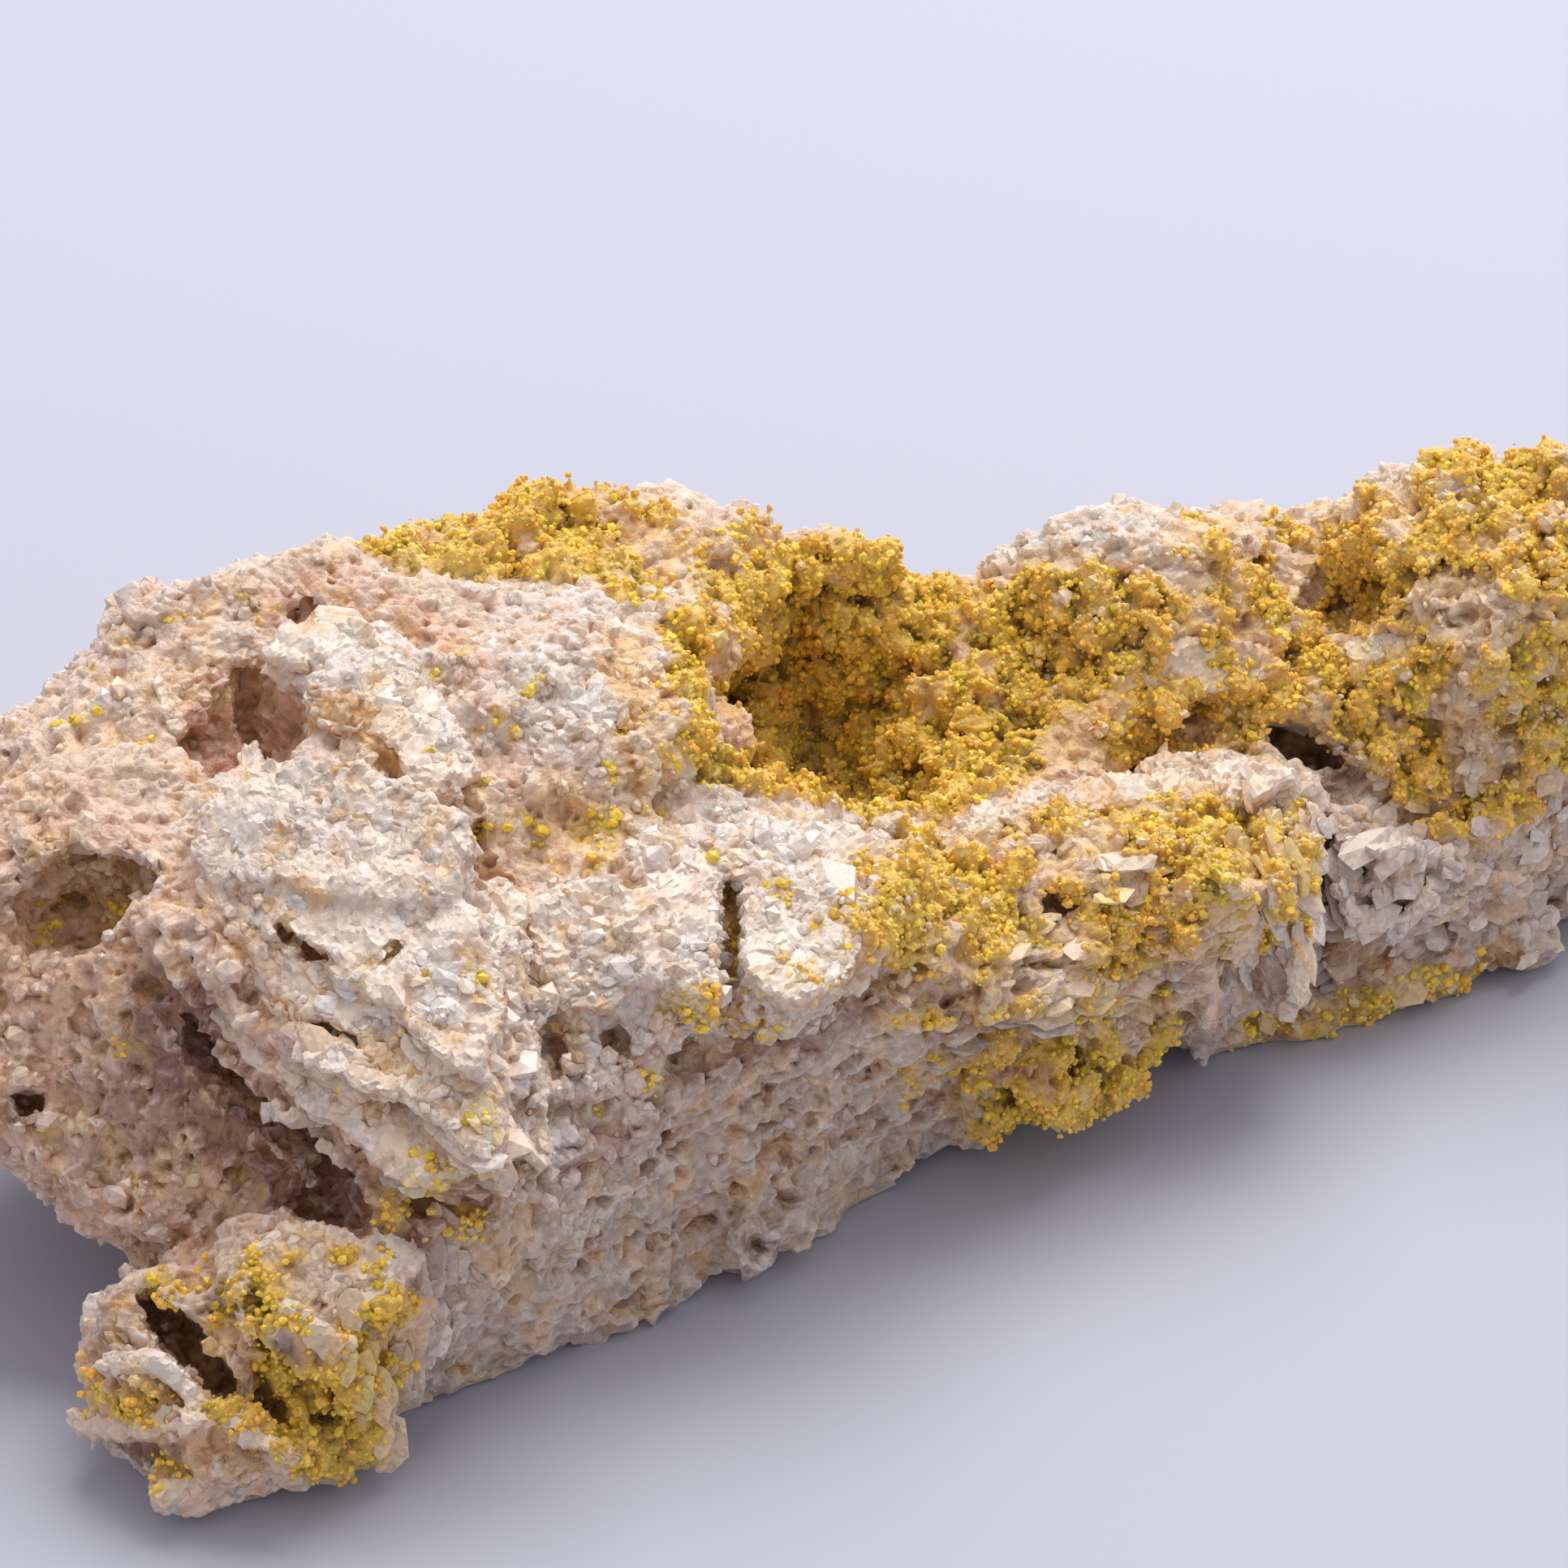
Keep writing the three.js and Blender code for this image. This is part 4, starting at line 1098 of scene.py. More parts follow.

# Stain along lines on the stone: colour, half width, strength, marks. Many rows are painted
# shade: the pinkish brown, dark brown, olive and grey ones and most of the ochre brown ones
# darken holes, slits, undercuts, the gap under the pile, the foot and the belly.
STAINS = [
    # Painted shade in the gap under the pile's lowest plate.
    (SHADE_BROWN_PINK, 4.5, 1.0, [(215, 1250), (280, 1350), (350, 1410), (420, 1460), (480, 1500)]),
    (BUFF, 3.4, 0.8, [(310, 860), (350, 900)]),
    (SHADE_BROWN_PINK, 1.6, 0.4, [(310, 860), (350, 900)]),
    (BUFF, 2.0, 0.7, [(340, 740), (380, 720), (420, 740)]),
    (OCHRE_STAIN, 0.7, 0.8, [(340, 1130), (390, 1180), (430, 1196), (500, 1157)]),
    (OCHRE_STAIN, 0.6, 0.8, [(358, 1250), (400, 1262), (485, 1302)]),
    (OCHRE_STAIN, 0.8, 0.5, [(300, 1110), (350, 1135), (420, 1150)]),
    (OCHRE_STAIN, 0.8, 0.5, [(420, 1000), (470, 1020), (520, 1040)]),
    (OCHRE_STAIN, 0.9, 0.6, [(590, 960), (600, 1020), (595, 1060), (640, 1090)]),
    (SHADE_BROWN, 1.0, 0.8, [(650, 1235), (680, 1280), (700, 1330)]),
    (OCHRE_STAIN, 1.3, 0.7, [(470, 1370), (520, 1430), (580, 1460), (560, 1500)]),
    (SHADE_BROWN, 1.2, 0.7, [(480, 1450), (540, 1470), (600, 1455)]),
    (CREAM, 3.6, 0.8, [(590, 990), (650, 1025), (710, 1020)]),
    (GOLD_STAIN, 2.0, 0.45, [(690, 1010), (750, 1030)]),
    (OCHRE_STAIN, 2.0, 0.8, [(395, 880), (440, 900), (490, 930)]),
    # Painted shade in the dark middle of the hollow.
    (SHADE_OLIVE, 3.2, 0.9, [(1010, 830), (1060, 870), (1000, 910), (940, 890)]),
    (SHADE_OLIVE, 1.2, 0.9, [(860, 850), (865, 890)]),
    (OCHRE_STAIN, 2.0, 0.7, [(900, 870), (940, 900), (1000, 930)]),
    (OCHRE_BROWN_STAIN_AND_SHADE, 2.2, 0.9, [(1380, 945), (1450, 915), (1540, 910)]),
    (SHADE_BROWN, 1.4, 0.9, [(1560, 900), (1620, 930), (1660, 950)]),
    (SHADE_BROWN, 1.2, 0.9, [(1628, 980), (1632, 1080), (1635, 1220)]),
    (OCHRE_BROWN_STAIN_AND_SHADE, 1.6, 0.8, [(1640, 1050), (1650, 1150), (1690, 1210)]),
    (OCHRE_BROWN_STAIN_AND_SHADE, 2.0, 0.3, [(1640, 740), (1700, 760), (1660, 870), (1600, 860)]),
    (OCHRE_STAIN, 2.2, 0.7, [(1150, 900), (1180, 950), (1160, 990)]),
    (OCHRE_STAIN, 1.4, 0.6, [(1280, 1130), (1330, 1150), (1450, 1160)]),
    (SHADE_BROWN, 0.9, 0.8, [(1290, 1115), (1320, 1120)]),
    (OCHRE_BROWN_STAIN_AND_SHADE, 2.4, 0.45, [(60, 1060), (110, 1090), (180, 1080)]),
    (PEACH, 2.8, 0.5, [(70, 1050), (120, 1080), (180, 1080)]),
    (OCHRE_STAIN, 1.6, 0.8, [(160, 1600), (220, 1650), (290, 1710), (350, 1780)]),
    (SHADE_BROWN, 1.3, 0.9, [(180, 1620), (240, 1670), (285, 1710)]),
    (SHADE_BROWN, 1.2, 0.9, [(100, 1775), (160, 1790), (215, 1785)]),
    (SHADE_BROWN, 1.4, 0.8, [(330, 1660), (370, 1690), (400, 1740)]),
    (OCHRE_STAIN, 2.4, 0.6, [(110, 1715), (180, 1730), (240, 1760)]),
    (OCHRE_STAIN, 1.8, 0.6, [(160, 1830), (220, 1840)]),
    # Painted shade on the strip along the base that curves in under the stone.
    (OCHRE_BROWN_STAIN_AND_SHADE, 2.4, 0.8, [(1590, 1250), (1680, 1255), (1780, 1225), (1880, 1190)]),
    (OCHRE_BROWN_STAIN_AND_SHADE, 1.5, 0.6, [(1180, 1290), (1260, 1310), (1330, 1330)]),
    (SHADE_BROWN, 0.9, 0.7, [(920, 1535), (950, 1538)]),
    (SHADE_BROWN, 0.9, 0.7, [(960, 1425), (985, 1430)]),
    (OCHRE_STAIN, 1.2, 0.8, [(895, 1100), (905, 1180), (890, 1235)]),
    (SHADE_BROWN, 0.7, 0.8, [(898, 1150), (905, 1210)]),
    (BUFF, 1.4, 0.6, [(690, 1290), (760, 1310), (800, 1300)]),
    (BUFF, 1.6, 0.3, [(620, 960), (660, 990), (700, 1010)]),
    (BUFF, 1.5, 0.6, [(490, 740), (560, 790), (600, 850)]),
    (BUFF, 1.5, 0.5, [(430, 690), (480, 740), (520, 790)]),
    (BUFF, 1.6, 0.4, [(780, 640), (860, 650), (900, 640)]),
    (OCHRE_BROWN_STAIN_AND_SHADE, 1.0, 0.6, [(45, 1360), (20, 1380)]),
    (SHADE_BROWN_PINK, 1.5, 0.6, [(700, 1410), (790, 1400), (850, 1335), (930, 1310), (1010, 1300)]),
    (SHADE_BROWN_PINK, 1.5, 0.6, [(1010, 1295), (1060, 1245), (1110, 1235), (1180, 1255)]),
    (OCHRE_BROWN_STAIN_AND_SHADE, 1.8, 0.8, [(1550, 1272), (1640, 1262), (1720, 1240), (1800, 1215), (1880, 1195)]),
    (YELLOW_GROUND, 1.0, 0.7, [(1580, 1262), (1660, 1255), (1740, 1232), (1800, 1212)]),
    (SHADE_BROWN_PINK, 1.6, 0.6, [(280, 1790), (320, 1800), (350, 1810)]),
    # Painted shade on the striped face under the knob's overhang.
    (GREY, 4.0, 0.8, [(1700, 1080), (1760, 1100), (1830, 1100)]),
    (BUFF, 5.0, 0.25, [(60, 1180), (90, 1280)]),
    (SHADE_BROWN_PINK, 2.4, 0.5, [(130, 1340), (180, 1400)]),
    # Painted shade under the beads of the clump on the shelf.
    (SHADE_OLIVE, 1.8, 0.5, [(1130, 1030), (1150, 1080), (1110, 1160)]),
    (SHADE_OLIVE, 3.4, 0.9, [(1000, 820), (1050, 830), (1080, 870), (1030, 900), (970, 880)]),
    (PEACH, 2.6, 0.8, [(770, 800), (800, 850), (800, 900), (810, 950)]),
    (OCHRE_STAIN, 1.2, 0.6, [(760, 830), (790, 900), (800, 960)]),
    (PEACH, 3.5, 0.8, [(1200, 850), (1250, 900), (1380, 900), (1500, 900)]),
    (PEACH, 3.0, 0.8, [(1180, 900), (1150, 960), (1250, 950)]),
    (OCHRE_STAIN, 1.5, 0.6, [(1500, 870), (1560, 850), (1600, 880)]),
    (PEACH, 3.0, 0.7, [(1520, 1000), (1530, 1080), (1510, 1150)]),
    (YELLOW_GROUND, 1.5, 0.7, [(1500, 1060), (1530, 1120), (1510, 1180)]),
    (PEACH, 2.0, 0.6, [(450, 1190), (400, 1170), (360, 1150)]),
    (PEACH, 1.6, 0.7, [(350, 1250), (420, 1290), (500, 1320)]),
    (BUFF, 1.2, 0.7, [(250, 1130), (290, 1190), (340, 1245), (400, 1290)]),
    (OCHRE_STAIN, 0.6, 0.8, [(338, 1128), (384, 1172), (434, 1198), (500, 1156)]),
    (OCHRE_STAIN, 0.6, 0.7, [(417, 1049), (440, 1110), (450, 1160)]),
    (OCHRE_STAIN, 0.6, 0.6, [(560, 1140), (590, 1200), (600, 1260)]),
    (OCHRE_STAIN, 0.7, 0.7, [(350, 1250), (420, 1290), (500, 1320)]),
    (BUFF, 3.2, 0.8, [(100, 1660), (100, 1730), (180, 1760), (240, 1800)]),
    (OCHRE_BROWN_STAIN_AND_SHADE, 0.9, 0.7, [(120, 1650), (190, 1700), (250, 1740), (330, 1800)]),
    (SHADE_BROWN, 1.0, 0.8, [(110, 1785), (160, 1795), (215, 1790)]),
    (SHADE_BROWN, 1.5, 0.9, [(185, 1610), (240, 1660), (280, 1720)]),
    (SHADE_BROWN_PINK, 1.2, 0.6, [(300, 1610), (320, 1680), (350, 1760), (390, 1800)]),
    (OCHRE_BROWN_STAIN_AND_SHADE, 1.2, 0.7, [(110, 1790), (180, 1820), (260, 1840)]),
    (OCHRE_BROWN_STAIN_AND_SHADE, 1.0, 0.7, [(90, 1690), (130, 1730), (200, 1750)]),
    (BUFF, 2.2, 0.6, [(290, 1650), (330, 1720), (350, 1790)]),
    # Painted shade over the foot.
    (OCHRE_BROWN_STAIN_AND_SHADE, 2.6, 0.45, [(170, 1610), (250, 1690), (320, 1760), (360, 1800)]),
    (SHADE_BROWN, 1.0, 0.7, [(315, 1700), (340, 1745), (400, 1760)]),
    # Painted shade on the belly.
    (OCHRE_BROWN_STAIN_AND_SHADE, 2.6, 0.4, [(1220, 1310), (1300, 1340), (1350, 1350)]),
    (BUFF, 3.0, 0.3, [(780, 1100), (860, 1100), (960, 1110)]),
    (BUFF, 3.0, 0.25, [(600, 770), (660, 760), (720, 790)]),
    (BUFF, 3.0, 0.25, [(430, 1060), (480, 1090), (540, 1120)]),
]

# Where single beads and small groups of them stand away from the crusts, and stain the quartz.
# Each row: how wide a group is, how thickly the beads stand, the marks.
SPECKS = [
    (0.45, 1.0, [
        (215, 760), (150, 790), (112, 825), (300, 735), (180, 915), (385, 868), (412, 955),
        (458, 785), (500, 800), (535, 832), (572, 803), (480, 890), (590, 905), (530, 925),
        (560, 940), (595, 965), (650, 850), (670, 838), (610, 880), (630, 905), (740, 945),
        (755, 955), (765, 900), (790, 1000), (815, 1003), (880, 1062), (905, 1010), (945, 1003),
        (575, 1082), (548, 1080), (525, 1150), (525, 1205), (465, 1147), (432, 1187),
        (585, 1150), (230, 1358), (165, 1455), (60, 1395), (150, 1290), (420, 1340), (590, 1305),
        (500, 1285), (700, 1100), (770, 1095), (690, 1145), (820, 1240), (990, 1250),
    ]),
    (0.8, 1.0, [
        (602, 1216), (95, 880), (70, 888), (60, 1150), (150, 1122), (640, 1015), (595, 1020),
        (590, 1050), (660, 1030), (330, 760), (840, 830), (800, 830), (810, 870), (820, 930),
        (960, 1100), (1010, 1130), (975, 1185), (940, 1215), (1040, 1180), (590, 1380),
        (590, 1440), (480, 1550), (470, 1570), (770, 1310), (730, 1380), (800, 1330),
        (905, 1105), (905, 1150), (895, 1195), (1090, 1330), (1120, 1320), (1150, 1260),
    ]),
    (1.5, 0.9, [
        (80, 1105), (130, 1135), (735, 1030), (715, 1050), (530, 1455), (500, 1490),
        (560, 1500), (860, 1240), (920, 1255), (320, 1560), (215, 1580), (110, 1715),
        (170, 1730), (200, 1830), (160, 1810), (1000, 1195), (1060, 1120), (1200, 1310),
    ]),
    (1.8, 1.0, [
        (1570, 1268), (1610, 1262), (1650, 1258), (1700, 1248), (1750, 1232), (1800, 1214),
        (1850, 1204),
    ]),
    (2.4, 0.7, [
        (1620, 1255), (1700, 1250), (1760, 1225), (1820, 1215), (1560, 1255), (1600, 1040),
        (1590, 1120), (1150, 1330), (940, 680), (1000, 690), (860, 700), (1560, 830),
        (1500, 840), (1230, 940), (1180, 960),
    ]),
]

stone_skin = BVHTree.FromPolygons(
    (skin * MM).tolist(), [tuple(face.vertices) for face in stone.polygons]
)
speckled = np.zeros(len(skin))
for width, thickly, marks in SPECKS:
    for place in seen(marks, stone_skin):
        far = np.linalg.norm(skin - place, axis=1) / width
        speckled = np.maximum(speckled, thickly * (1 - ramp(far, 0.4, 1.6)))
speckled *= ramp(drifts(skin, (1, 1.4, 191), (0.5, 0.7, 192)), -0.5, 0.3)
speckled *= (1 - yellowed) * (outward @ view_axes[2] > -0.2)


def blend(colour, other, share):
    """The colour moved towards another by a share at each point."""
    return colour + (other - colour) * np.clip(share, 0, 1)[:, None]


# The quartz itself, from grey at its foot to clean white, flushed pink and ochre in patches.
clean = patches(skin, CLEAN)
pink = patches(skin, PINK)
ochre = patches(skin, OCHRE)
mottle = drifts(skin, (1, 2.2, 121), (0.4, 5.0, 123))
speckle = drift(skin, 0.8, 122)
colour = np.tile(GREY, (len(skin), 1))
colour = blend(colour, CREAM, ramp(skin[:, 2], 8, 22) * 0.7 + 0.25 * mottle)
colour = blend(colour, WHITE, clean * (0.75 + 0.25 * mottle) + 0.3 * ramp(mottle, 0, 0.6))
colour = blend(colour, BUFF, pink * (0.45 + 0.4 * ramp(mottle + 0.5 * speckle, -0.4, 0.5)))
# Buff in the wide dips: partly real stain, partly painted shade.
colour = blend(colour, BUFF, 0.7 * ramp(wide_dip, 0.1, 1.3) * (1 - 0.4 * clean))
colour = blend(colour, OCHRE_STAIN, ochre * 0.6 * ramp(speckle + mottle, -0.1, 0.8))

# Stain along its lines. The pinkish brown ones are painted shade under overhangs and in recesses,
# and no grains grow where they lie.
uneven = shaken(skin, (0.9, 2.2, 125), (0.4, 0.8, 128))
in_painted_shade = np.zeros(len(skin))
for stain, half, strength, marks in STAINS:
    share = ramp(line_share(uneven, marks, half, stone_skin), 0, 0.55)
    colour = blend(colour, stain, strength * share)
    if stain is SHADE_BROWN_PINK:
        in_painted_shade = np.maximum(in_painted_shade, share)

# Yellow ground under and around the crusts and beads, peach elsewhere, and ochre veins.
colour = blend(colour, PEACH, halo * 0.75 * ramp(mottle + 0.6 * speckle, -0.8, 0.4))
colour = blend(colour, GOLD_STAIN, halo * 0.7 * ramp(speckle - 0.5 * mottle, -0.2, 0.5))
colour = blend(colour, YELLOW_GROUND, yellowed * 0.85)
flesh = drifts(skin, (1, 1.7, 126), (0.6, 0.8, 127))
colour = blend(colour, PEACH, 0.6 * ramp(flesh, 0.0, 0.9) * (1 - yellowed))
colour = blend(colour, YELLOW_GROUND, 0.6 * ramp(speckled, 0, 0.8))
_, edge, number, _ = cells(shaken(skin, (0.8, 1.5, 133)), 2.6, 136)
vein = (1 - ramp(edge, 0.02, 0.16)) * ramp(drift(skin, 4.0, 139) + 0.3, -0.2, 0.5)
colour = blend(colour, OCHRE_STAIN, 0.45 * vein * (number > 0.3) * (1 - 0.3 * pink))

# Painted shade in the dips: olive under the crusts and brown elsewhere, partly real iron
# stain too. The raised tips are made whiter.
colour = blend(colour, SHADE_OLIVE, 0.8 * yellowed * ramp(fine_dip, 0.0, 0.3))
dip = fine_dip + 0.2 * wide_dip
colour = blend(colour, OCHRE_BROWN_STAIN_AND_SHADE, (0.6 - 0.3 * clean) * ramp(dip, 0.12, 0.6))
colour = blend(colour, SHADE_BROWN, (0.6 - 0.2 * clean) * ramp(dip, 0.45, 1.1))
colour = blend(colour, WHITE, 0.4 * ramp(-fine_dip, 0.05, 0.3) * (1 - ochre) * (1 - yellowed))


def give_tint(mesh, colours, coarse):
    """Stores each point's colour, with how coarse its grain is as the alpha."""
    tint = mesh.attributes.new("tint", "FLOAT_COLOR", "POINT")
    tint.data.foreach_set("color", np.c_[colours, coarse].astype(np.float32).ravel())


give_tint(stone, colour, 1 - yellowed)

# Grains of the finish, in grains per metre.
QUARTZ_GRAINS = 2100
CRUST_GRAINS = 4500
GRAIN_NOISE = 6000


def sugar_group():
    """Grains of sugary quartz: a shade and a height for each fine grain."""
    group = bpy.data.node_groups.new("sugar_grain", "ShaderNodeTree")
    for name, way in (("Grain size", "INPUT"), ("Shade", "OUTPUT"), ("Height", "OUTPUT")):
        group.interface.new_socket(name, in_out=way, socket_type="NodeSocketFloat")
    nodes, links = group.nodes, group.links
    given = nodes.new("NodeGroupInput")
    result = nodes.new("NodeGroupOutput")
    place = nodes.new("ShaderNodeTexCoord")
    grains = nodes.new("ShaderNodeTexVoronoi")
    grains.feature = "F1"
    grains.inputs["Randomness"].default_value = 1
    fine = nodes.new("ShaderNodeTexNoise")
    fine.inputs["Scale"].default_value = GRAIN_NOISE
    fine.inputs["Detail"].default_value = 1
    split = nodes.new("ShaderNodeSeparateColor")
    height = nodes.new("ShaderNodeMath")
    height.operation = "MULTIPLY_ADD"
    height.inputs[1].default_value = -1.0
    links.new(given.outputs["Grain size"], grains.inputs["Scale"])
    links.new(place.outputs["Object"], grains.inputs["Vector"])
    links.new(place.outputs["Object"], fine.inputs["Vector"])
    links.new(grains.outputs["Color"], split.inputs["Color"])
    links.new(grains.outputs["Distance"], height.inputs[0])
    links.new(fine.outputs["Fac"], height.inputs[2])
    links.new(split.outputs["Red"], result.inputs["Shade"])
    links.new(height.outputs[0], result.inputs["Height"])
    return group


sugar = sugar_group()


def grain_node(nodes, grains_per_metre):
    """The sugar grain placed in a finish."""
    grain = nodes.new("ShaderNodeGroup")
    grain.node_tree = sugar
    grain.inputs["Grain size"].default_value = grains_per_metre
    return grain


def eased(nodes, links, share, fine, coarse):
    """A value that runs from the fine grain's to the coarse grain's by the share."""
    mix = nodes.new("ShaderNodeMix")
    mix.data_type = "FLOAT"
    links.new(share, mix.inputs["Factor"])
    links.new(fine, mix.inputs["A"])
    links.new(coarse, mix.inputs["B"])
    return mix.outputs["Result"]


def spread(nodes, links, shade, low, high):
    """A shade from 0 to 1 spread from the low value to the high one."""
    reach = nodes.new("ShaderNodeMapRange")
    reach.inputs["To Min"].default_value = low
    reach.inputs["To Max"].default_value = high
    links.new(shade, reach.inputs["Value"])
    return reach.outputs["Result"]


QUARTZ_IOR = 1.54
DARKEST_GRAIN = 0.82
LIGHTEST_GRAIN = 1.12
# The sockets for colours on a mix node.
MIX_A = 6
MIX_B = 7
MIX_RESULT = 2


def tinted_finish(name, grains_per_metre, smoothest, roughest, bump=0):
    """A finish whose colour is the piece's own tint, lighter and glossier grain by grain. One
    with a bump has the crusts' finer grain where the tint's alpha is low."""
    finish = bpy.data.materials.new(name)
    finish.use_nodes = True
    nodes, links = finish.node_tree.nodes, finish.node_tree.links
    surface = nodes["Principled BSDF"]
    surface.inputs["IOR"].default_value = QUARTZ_IOR
    own = nodes.new("ShaderNodeAttribute")
    own.attribute_name = "tint"
    coarse = grain_node(nodes, grains_per_metre)
    shade = coarse.outputs["Shade"]
    if bump:
        fine = grain_node(nodes, CRUST_GRAINS)
        lower = nodes.new("ShaderNodeMath")
        lower.operation = "MULTIPLY"
        lower.inputs[1].default_value = grains_per_metre / CRUST_GRAINS
        links.new(fine.outputs["Height"], lower.inputs[0])
        share = own.outputs["Alpha"]
        shade = eased(nodes, links, share, fine.outputs["Shade"], shade)
        height = eased(nodes, links, share, lower.outputs[0], coarse.outputs["Height"])
        relief = nodes.new("ShaderNodeBump")
        relief.inputs["Strength"].default_value = 1
        relief.inputs["Distance"].default_value = bump
        links.new(height, relief.inputs["Height"])
        links.new(relief.outputs["Normal"], surface.inputs["Normal"])
    shaded = nodes.new("ShaderNodeMix")
    shaded.data_type = "RGBA"
    shaded.blend_type = "MULTIPLY"
    shaded.inputs["Factor"].default_value = 1
    lighter = spread(nodes, links, shade, DARKEST_GRAIN, LIGHTEST_GRAIN)
    links.new(own.outputs["Color"], shaded.inputs[MIX_A])
    links.new(lighter, shaded.inputs[MIX_B])
    links.new(shaded.outputs[MIX_RESULT], surface.inputs["Base Color"])
    polish = spread(nodes, links, shade, smoothest, roughest)
    links.new(polish, surface.inputs["Roughness"])
    return finish


def finished(name, mesh, finish, replaced=()):
    """Puts a piece made in mm in the scene in metres, on the object's one body."""
    mesh.transform(Matrix.Scale(MM, 4))
    mesh.materials.clear()
    mesh.materials.append(finish)
    mesh.polygons.foreach_set("use_smooth", np.zeros(len(mesh.polygons), bool))
    piece = bpy.data.objects.new(name, mesh)
    scene.collection.objects.link(piece)
    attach(piece, "root")
    if replaced:
        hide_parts(*replaced)


# Light goes a little way into the block, as it does into milky quartz.
MILKY_SHARE = 0.7
MILKY_DEPTH = 0.8 * MM
MILKY_COLOUR = (1.0, 0.97, 0.95)
ROCK_BUMP = 0.11 * MM
QUARTZ_GLOSS = {"smoothest": 0.3, "roughest": 0.7}

quartz_rock = tinted_finish("sugary_quartz", QUARTZ_GRAINS, **QUARTZ_GLOSS, bump=ROCK_BUMP)
rock_surface = quartz_rock.node_tree.nodes["Principled BSDF"]
rock_surface.inputs["Subsurface Weight"].default_value = MILKY_SHARE
rock_surface.inputs["Subsurface Scale"].default_value = MILKY_DEPTH
rock_surface.inputs["Subsurface Radius"].default_value = MILKY_COLOUR
finished("quartz_matrix", stone, quartz_rock, ["matrix"])

# Quartz sheets.
# The torn thin sheets that end the plates of the pile, the foot and the blocks. They are the same
# quartz, grown into the block, white on top, with painted shade in buff where they face down.
SHEET_WHITE = np.array([0.85, 0.745, 0.65])
SHEET_GRID = 0.27
SHEET_RISE = 0.1
SHEET_ROOT = 0.3
SHEET_THICKNESS = 0.55
SHEET_TORN_STEP = 0.45
SHEET_TORN_DEPTH = 0.16
SHEET_CRUMB = 0.04

rows = plate_rows(SHEET_RISE, SHEET_ROOT, SHEET_THICKNESS)
sheets = remeshed(slabs(rows, SHEET_TORN_STEP, SHEET_TORN_DEPTH), SHEET_GRID)
sheets = remeshed(cut_away(sheets, hollows()), SHEET_GRID)
points = points_of(sheets)
facing = normals_of(sheets)
push = chunks(shaken(points, (0.2, 0.6, 301)), 0.7, 304, step=0.12, lean=0.16)
push += chunks(points, 1.6, 308, step=0.22, lean=0.25)
crumb = np.random.RandomState(seed=9).uniform(-SHEET_CRUMB, SHEET_CRUMB, points.shape)
points = points + facing * push[:, None] + crumb
wave = drifts(points, (0.5, 3.4, 305), (0.3, 1.7, 306))
points = points + np.array(PILE_FACING) * wave[:, None]
points = np.clip(points, box_low, box_high)
set_points(sheets, points)

stone_tree = KDTree(len(skin))
for number, place in enumerate(skin):
    stone_tree.insert(place, number)
stone_tree.balance()
nearest = np.array([stone_tree.find(place)[1] for place in points])
mottle = drifts(points, (1, 1.8, 311), (0.5, 0.7, 312))
shade = blend(colour[nearest], CREAM, 0.45 + 0.5 * mottle)
shade = blend(shade, SHEET_WHITE, 0.35 - 0.5 * mottle)
# Painted shade: buff on the sides that face down.
shade = blend(shade, BUFF, 0.7 * ramp(-(facing @ np.array(PILE_FACING)), -0.5, 0.2))
shade = blend(shade, OCHRE_STAIN, 0.5 * ramp(mottle, 0.4, 0.9))
give_tint(sheets, shade, np.ones(len(points)))
quartz_sheet = tinted_finish("quartz_sheet", QUARTZ_GRAINS, **QUARTZ_GLOSS)
finished("quartz_sheets", sheets, quartz_sheet)

# Quartz grains.
# Small blunt quartz crystals grown on the stone's skin, thickest on the white shelf, the dome
# and the tops of the plates. Each is a few flat faces, half sunk in the stone.
GRAIN_SPOTS = [
    ((-36, -7, 26), (9, 14, 6), 0.25),
    ((-17, -1, 30), (10, 10, 7), 0.6),
    ((-16, -15, 22), (15, 8, 7), 1.0),
    ((2, -10, 22), (14, 6, 5), 0.7),
    ((-28, 1, 32), (7, 10, 5), 0.35),
    ((24, 3, 25), (9, 7, 6), 0.5),
    ((-27, -17, 17), (8, 7, 7), 0.8),
    ((-34, 16, 31), (15, 7, 6), 0.25),
    ((20, -15, 17), (8, 7, 6), 0.4),
    ((42, -10, 21), (13, 12, 12), 0.5),
    ((-48, 3, 18), (10, 14, 13), 0.25),
    ((-42, -12, 12), (10, 9, 8), 0.3),
    ((8, -18, 12), (30, 8, 10), 0.1),
]
SHELF = ((-16, -15, 23), (13, 7, 6))
GRAIN_SPACING = 0.6
GRAIN_SIZE = 0.31
GRAIN_SUNK = 0.8
GRAIN_LEAN = 0.35
GRAIN_UNEVEN = 0.16
# The grains are three pieces, each from one X to the next.
GRAIN_PARTS = (-60, -27, -8, 60)
GLASS_GRAINS = 3500
# How far a grain may sit from its spot.
ASTRAY = 0.12


def lump():
    """A rough lump of twenty flats, as points and faces."""
    shape = bmesh.new()
    bmesh.ops.create_icosphere(shape, subdivisions=1, radius=1)
    points = np.array([tuple(v.co) for v in shape.verts])
    faces = np.array([[v.index for v in f.verts] for f in shape.faces])
    shape.free()
    return points, faces


lump_points, lump_faces = lump()


def unit(rows):
    """Each row made one long."""
    return rows / np.linalg.norm(rows, axis=1)[:, None]


def spots_on_stone(density, spacing, seed):
    """Numbers of points on the stone, about `spacing` mm apart where density is 1."""
    rng = np.random.RandomState(seed)
    order = rng.permutation(len(skin))
    order = order[rng.rand(len(order)) < density[order]]
    cell = np.floor(skin[order] / spacing + rng.rand(3)).astype(int)
    _, first = np.unique(cell, axis=0, return_index=True)
    return order[np.sort(first)]


